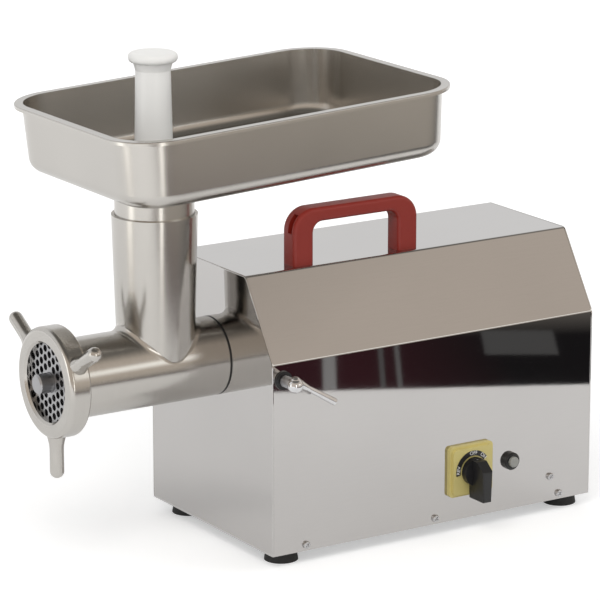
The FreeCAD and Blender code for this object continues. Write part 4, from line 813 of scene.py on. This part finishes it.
class GRINDER_OT_stage(Operator):
    """Floor, light, reflected surroundings and camera"""
    bl_idname = "grinder.stage"
    bl_label = "Stage"

    target = (0.0, 0.0, 0.22)
    lamps = (
        ("key", (-1.6, -1.4, 2.2), 1.6, 34.0, (1.0, 0.985, 0.96)),
        ("fill", (1.9, -1.2, 1.6), 1.8, 15.0, (1.0, 0.99, 0.97)),
        ("rim", (0.4, 2.2, 1.9), 1.8, 14.0, (1.0, 1.0, 1.0)),
    )
    floor_size = 16.0
    floor_drift = 0.99
    mirror_level, eye_level, far_level = 0.28, 0.50, 0.75
    far_fade = (0.7, 2.6)
    # The dome's tones are a painted reflection of a room, seen only in mirrors; the strips' edges
    # fade to the same room tone.
    dome_radius = 4.5
    reflected_room_tone = (0.66, 0.585, 0.51, 1.0)
    back_tone = (0.86, 0.86, 0.86, 1.0)
    back_fade = (-0.6, 2.0)
    overhead_tone = (0.15, 0.143, 0.13, 1.0)
    overhead_fade = (2.9, 3.8)
    # The dim floor's red, black and pale tones and its streaks are painted reflections, on cards seen
    # only in mirrors.
    table_edge = (0.126, -0.582)
    edge_turn = math.radians(27.3)
    dim_length, dim_depth = 5.0, 4.0
    dim_lift = 1 * MM
    dim_red = (0.045, 0.016, 0.020, 1.0)
    dim_black = (0.013, 0.012, 0.013, 1.0)
    red_fade = (0.10, 0.26)
    pale_tone = (0.52, 0.48, 0.43, 1.0)
    pale_fade = (dim_depth / 2 - 0.6, dim_depth / 2 - 0.2)
    sight = math.radians(-57.4)
    streak_lift = 2 * MM
    streaks = ((0.286, -0.724, 0.40, 0.014, 0.30), (0.336, -0.698, 0.40, 0.005, 0.12),
               (0.352, -0.690, 0.40, 0.005, 0.16), (0.455, -0.600, 0.10, 0.080, 0.09))
    strips = (
        ("side_strip", (-1.08, 0.13, 0.28), 0.30, 0.56, 90.0, 2.4),
        ("front_strip", (-0.40, -0.80, 0.28), 0.10, 0.56, 0.0, 4.2),
        ("bar_strip", (1.10, -1.70, 0.78), 1.60, 0.50, 0.0, 1.7),
    )
    strip_rim, strip_core = 0.5, 0.3
    strip_warmth = 0.97
    soft_light = 0.5
    sensor = 36.0
    far_clip = 30.0

    def lamp(self, name, place, size, power, tint):
        """A square soft light aimed at the grinder."""
        start_clean()
        bpy.ops.object.light_add(type="AREA", location=HOME + Vector(place))
        lamp = take(name)
        lamp.data.shape = "SQUARE"
        lamp.data.size = size
        lamp.data.energy = power
        lamp.data.color = tint
        lamp.visible_glossy = False
        aim = Vector(self.target) - Vector(place)
        lamp.rotation_euler = aim.to_track_quat("-Z", "Y").to_euler()

    def seen_rays(self, finish):
        """1 for rays of the eye, of mirrors and through glass, 0 for light that falls on things."""
        kinds = [finish.node("ShaderNodeLightPath", output=name)
                 for name in ("Is Camera Ray", "Is Glossy Ray", "Is Transmission Ray")]
        return kinds[0] + kinds[1] + kinds[2]

    def floor(self, colour):
        """A pale floor that reads white and keeps the shadow."""
        start_clean()
        bpy.ops.mesh.primitive_plane_add(size=self.floor_size, location=HOME)
        floor = take("floor")
        finish = Finish("floor_paper")
        tone = finish.drift(finish.noise(scale=4.0), colour, low=self.floor_drift, high=1.0)
        far = finish.node("ShaderNodeVectorMath", {"operation": "LENGTH"}, {0: finish.place()}, 1)
        near = finish.blend(finish.node("ShaderNodeLightPath", output="Is Camera Ray"),
                            shade(colour, self.mirror_level), shade(colour, self.eye_level))
        glow = finish.blend(finish.ramp(far, *self.far_fade), near, shade(colour, self.far_level))
        glow = finish.blend(self.seen_rays(finish), BLACK, glow)
        finish.surface(Base_Color=tone, Roughness=0.9, Specular_IOR_Level=0.0,
                       Emission_Color=glow, Emission_Strength=1.0)
        floor.data.materials.append(finish.owner)

    def card(self, name, width, height, turn, place):
        """A flat card of a size, turned and set at a place from under the cabinet's middle."""
        start_clean()
        bpy.ops.mesh.primitive_plane_add(size=1.0)
        card = take(name)
        card.scale = (width, height, 1.0)
        apply_place(card)
        card.rotation_euler = turn
        card.location = HOME + Vector(place)
        return card

    def glow(self, card, finish, tone):
        """Gives a card a glow that only mirrors see."""
        finish.surface(Base_Color=BLACK, Roughness=1.0, Specular_IOR_Level=0.0,
                       Emission_Color=tone, Emission_Strength=1.0)
        card.data.materials.append(finish.owner)
        card.visible_camera = False
        card.visible_diffuse = False
        card.visible_shadow = False

    def dome(self):
        """A painted reflection of a room above the floor, a shell that glows for mirrors only: dim in
        front, darker overhead, bright behind.
        """
        start_clean()
        bpy.ops.mesh.primitive_uv_sphere_add(segments=48, ring_count=24, radius=self.dome_radius,
                                             location=HOME)
        dome = take("reflected_room_dome")
        bpy.ops.object.mode_set(mode="EDIT")
        bpy.ops.mesh.select_all(action="SELECT")
        bpy.ops.mesh.bisect(plane_co=HOME, plane_no=(0, 0, 1), clear_inner=True)
        bpy.ops.object.mode_set(mode="OBJECT")
        finish = Finish("room_reflection_glow")
        here = finish.place()
        back = finish.ramp(finish.axis(here, 1), *self.back_fade)
        high = finish.ramp(finish.axis(here, 2), *self.overhead_fade)
        tone = finish.blend(back, self.reflected_room_tone, self.back_tone)
        tone = finish.blend(high, tone, self.overhead_tone)
        self.glow(dome, finish, tone)

    def mirrored_dark_floor(self):
        """A painted reflection of a dim floor past the edge of the white table, with a few pale
        streaks as painted highlights, on cards that glow for mirrors only.
        """
        outward = Vector((math.sin(self.edge_turn), -math.cos(self.edge_turn), 0.0))
        edge = Vector(self.table_edge + (self.dim_lift,))
        card = self.card("mirrored_table_end", self.dim_length, self.dim_depth, (0, 0, self.edge_turn),
                         edge + outward * (self.dim_depth / 2))
        finish = Finish("dim_floor_reflection")
        here = finish.place()
        dark = finish.blend(finish.ramp(finish.axis(here, 0), *self.red_fade), self.dim_red,
                            self.dim_black)
        near = finish.ramp(finish.axis(here, 1), *self.pale_fade)
        self.glow(card, finish, finish.blend(near, self.pale_tone, dark))
        for number, (x, y, length, width, level) in enumerate(self.streaks):
            streak = self.card("streak_" + str(number), length, width, (0, 0, self.sight),
                               (x, y, self.streak_lift))
            self.glow(streak, Finish("streak_glow"), (level, level, level, 1.0))

    def strip(self, name, place, width, height, turn, level):
        """An upright bright strip, soft at its edges, for the round metal to mirror."""
        strip = self.card(name, width, height, (math.pi / 2, 0, math.radians(turn)), place)
        finish = Finish(name + "_glow")
        here = finish.place()
        inside = [finish.ramp(abs(finish.axis(here, number)), size * self.strip_rim,
                              size * self.strip_core)
                  for number, size in enumerate((width, height))]
        bright = (level, level, level * self.strip_warmth, 1.0)
        self.glow(strip, finish, finish.blend(inside[0] * inside[1], self.reflected_room_tone, bright))

    def world(self):
        """White to the eye and in mirrors, an even soft light on everything else."""
        surround = Finish("surround", "worlds")
        level = self.seen_rays(surround) * (1 - self.soft_light) + self.soft_light
        ground = surround.node("ShaderNodeBackground", {}, {"Color": WHITE, "Strength": level})
        surround.node("ShaderNodeOutputWorld", {}, {"Surface": ground})
        bpy.context.scene.world = surround.owner

    def execute(self, context):
        studio = context.scene.grinder_studio
        self.floor(studio.floor)
        self.dome()
        self.mirrored_dark_floor()
        for strip in self.strips:
            self.strip(*strip)
        for lamp in self.lamps:
            self.lamp(*lamp)
        self.world()
        start_clean()
        bpy.ops.object.camera_add(location=HOME + Vector(studio.camera_place))
        camera = take("photo_camera")
        camera.rotation_euler = Vector(studio.camera_aim).to_track_quat("-Z", "Y").to_euler()
        camera.data.lens = studio.lens
        camera.data.sensor_width = self.sensor
        camera.data.clip_end = self.far_clip
        context.scene.camera = camera
        context.scene.view_settings.view_transform = "Standard"
        return {"FINISHED"}


class GRINDER_PT_sidebar(Panel):
    """Sizes, colours and steps of the grinder's dressing"""
    bl_label = "Meat grinder"
    bl_idname = "GRINDER_PT_sidebar"
    bl_space_type = "VIEW_3D"
    bl_region_type = "UI"
    bl_category = "Grinder"

    def draw(self, context):
        for group in ("grinder_finishes", "grinder_trim", "grinder_studio"):
            values = getattr(context.scene, group)
            box = self.layout.box()
            for name in values.__annotations__:
                box.prop(values, name)
        for step in steps:
            self.layout.operator(step.bl_idname)


steps = (GRINDER_OT_finishes, GRINDER_OT_case_screws, GRINDER_OT_switch_legend,
         GRINDER_OT_tray_bead, GRINDER_OT_edge_beads, GRINDER_OT_grip_handle,
         GRINDER_OT_clamp_thread, GRINDER_OT_barrel_seam, GRINDER_OT_stage)
groups = (GrinderFinishes, GrinderTrim, GrinderStudio)


def register():
    for cls in groups + steps + (GRINDER_PT_sidebar,):
        bpy.utils.register_class(cls)
    bpy.types.Scene.grinder_finishes = PointerProperty(type=GrinderFinishes)
    bpy.types.Scene.grinder_trim = PointerProperty(type=GrinderTrim)
    bpy.types.Scene.grinder_studio = PointerProperty(type=GrinderStudio)


def unregister():
    del bpy.types.Scene.grinder_studio
    del bpy.types.Scene.grinder_trim
    del bpy.types.Scene.grinder_finishes
    for cls in reversed(groups + steps + (GRINDER_PT_sidebar,)):
        bpy.utils.unregister_class(cls)


def main():
    register()
    bpy.ops.grinder.finishes()
    bpy.ops.grinder.case_screws()
    bpy.ops.grinder.switch_legend()
    bpy.ops.grinder.tray_bead()
    bpy.ops.grinder.edge_beads()
    bpy.ops.grinder.grip_handle()
    bpy.ops.grinder.clamp_thread()
    bpy.ops.grinder.barrel_seam()
    bpy.ops.grinder.stage()


if __name__ == "__main__":
    main()
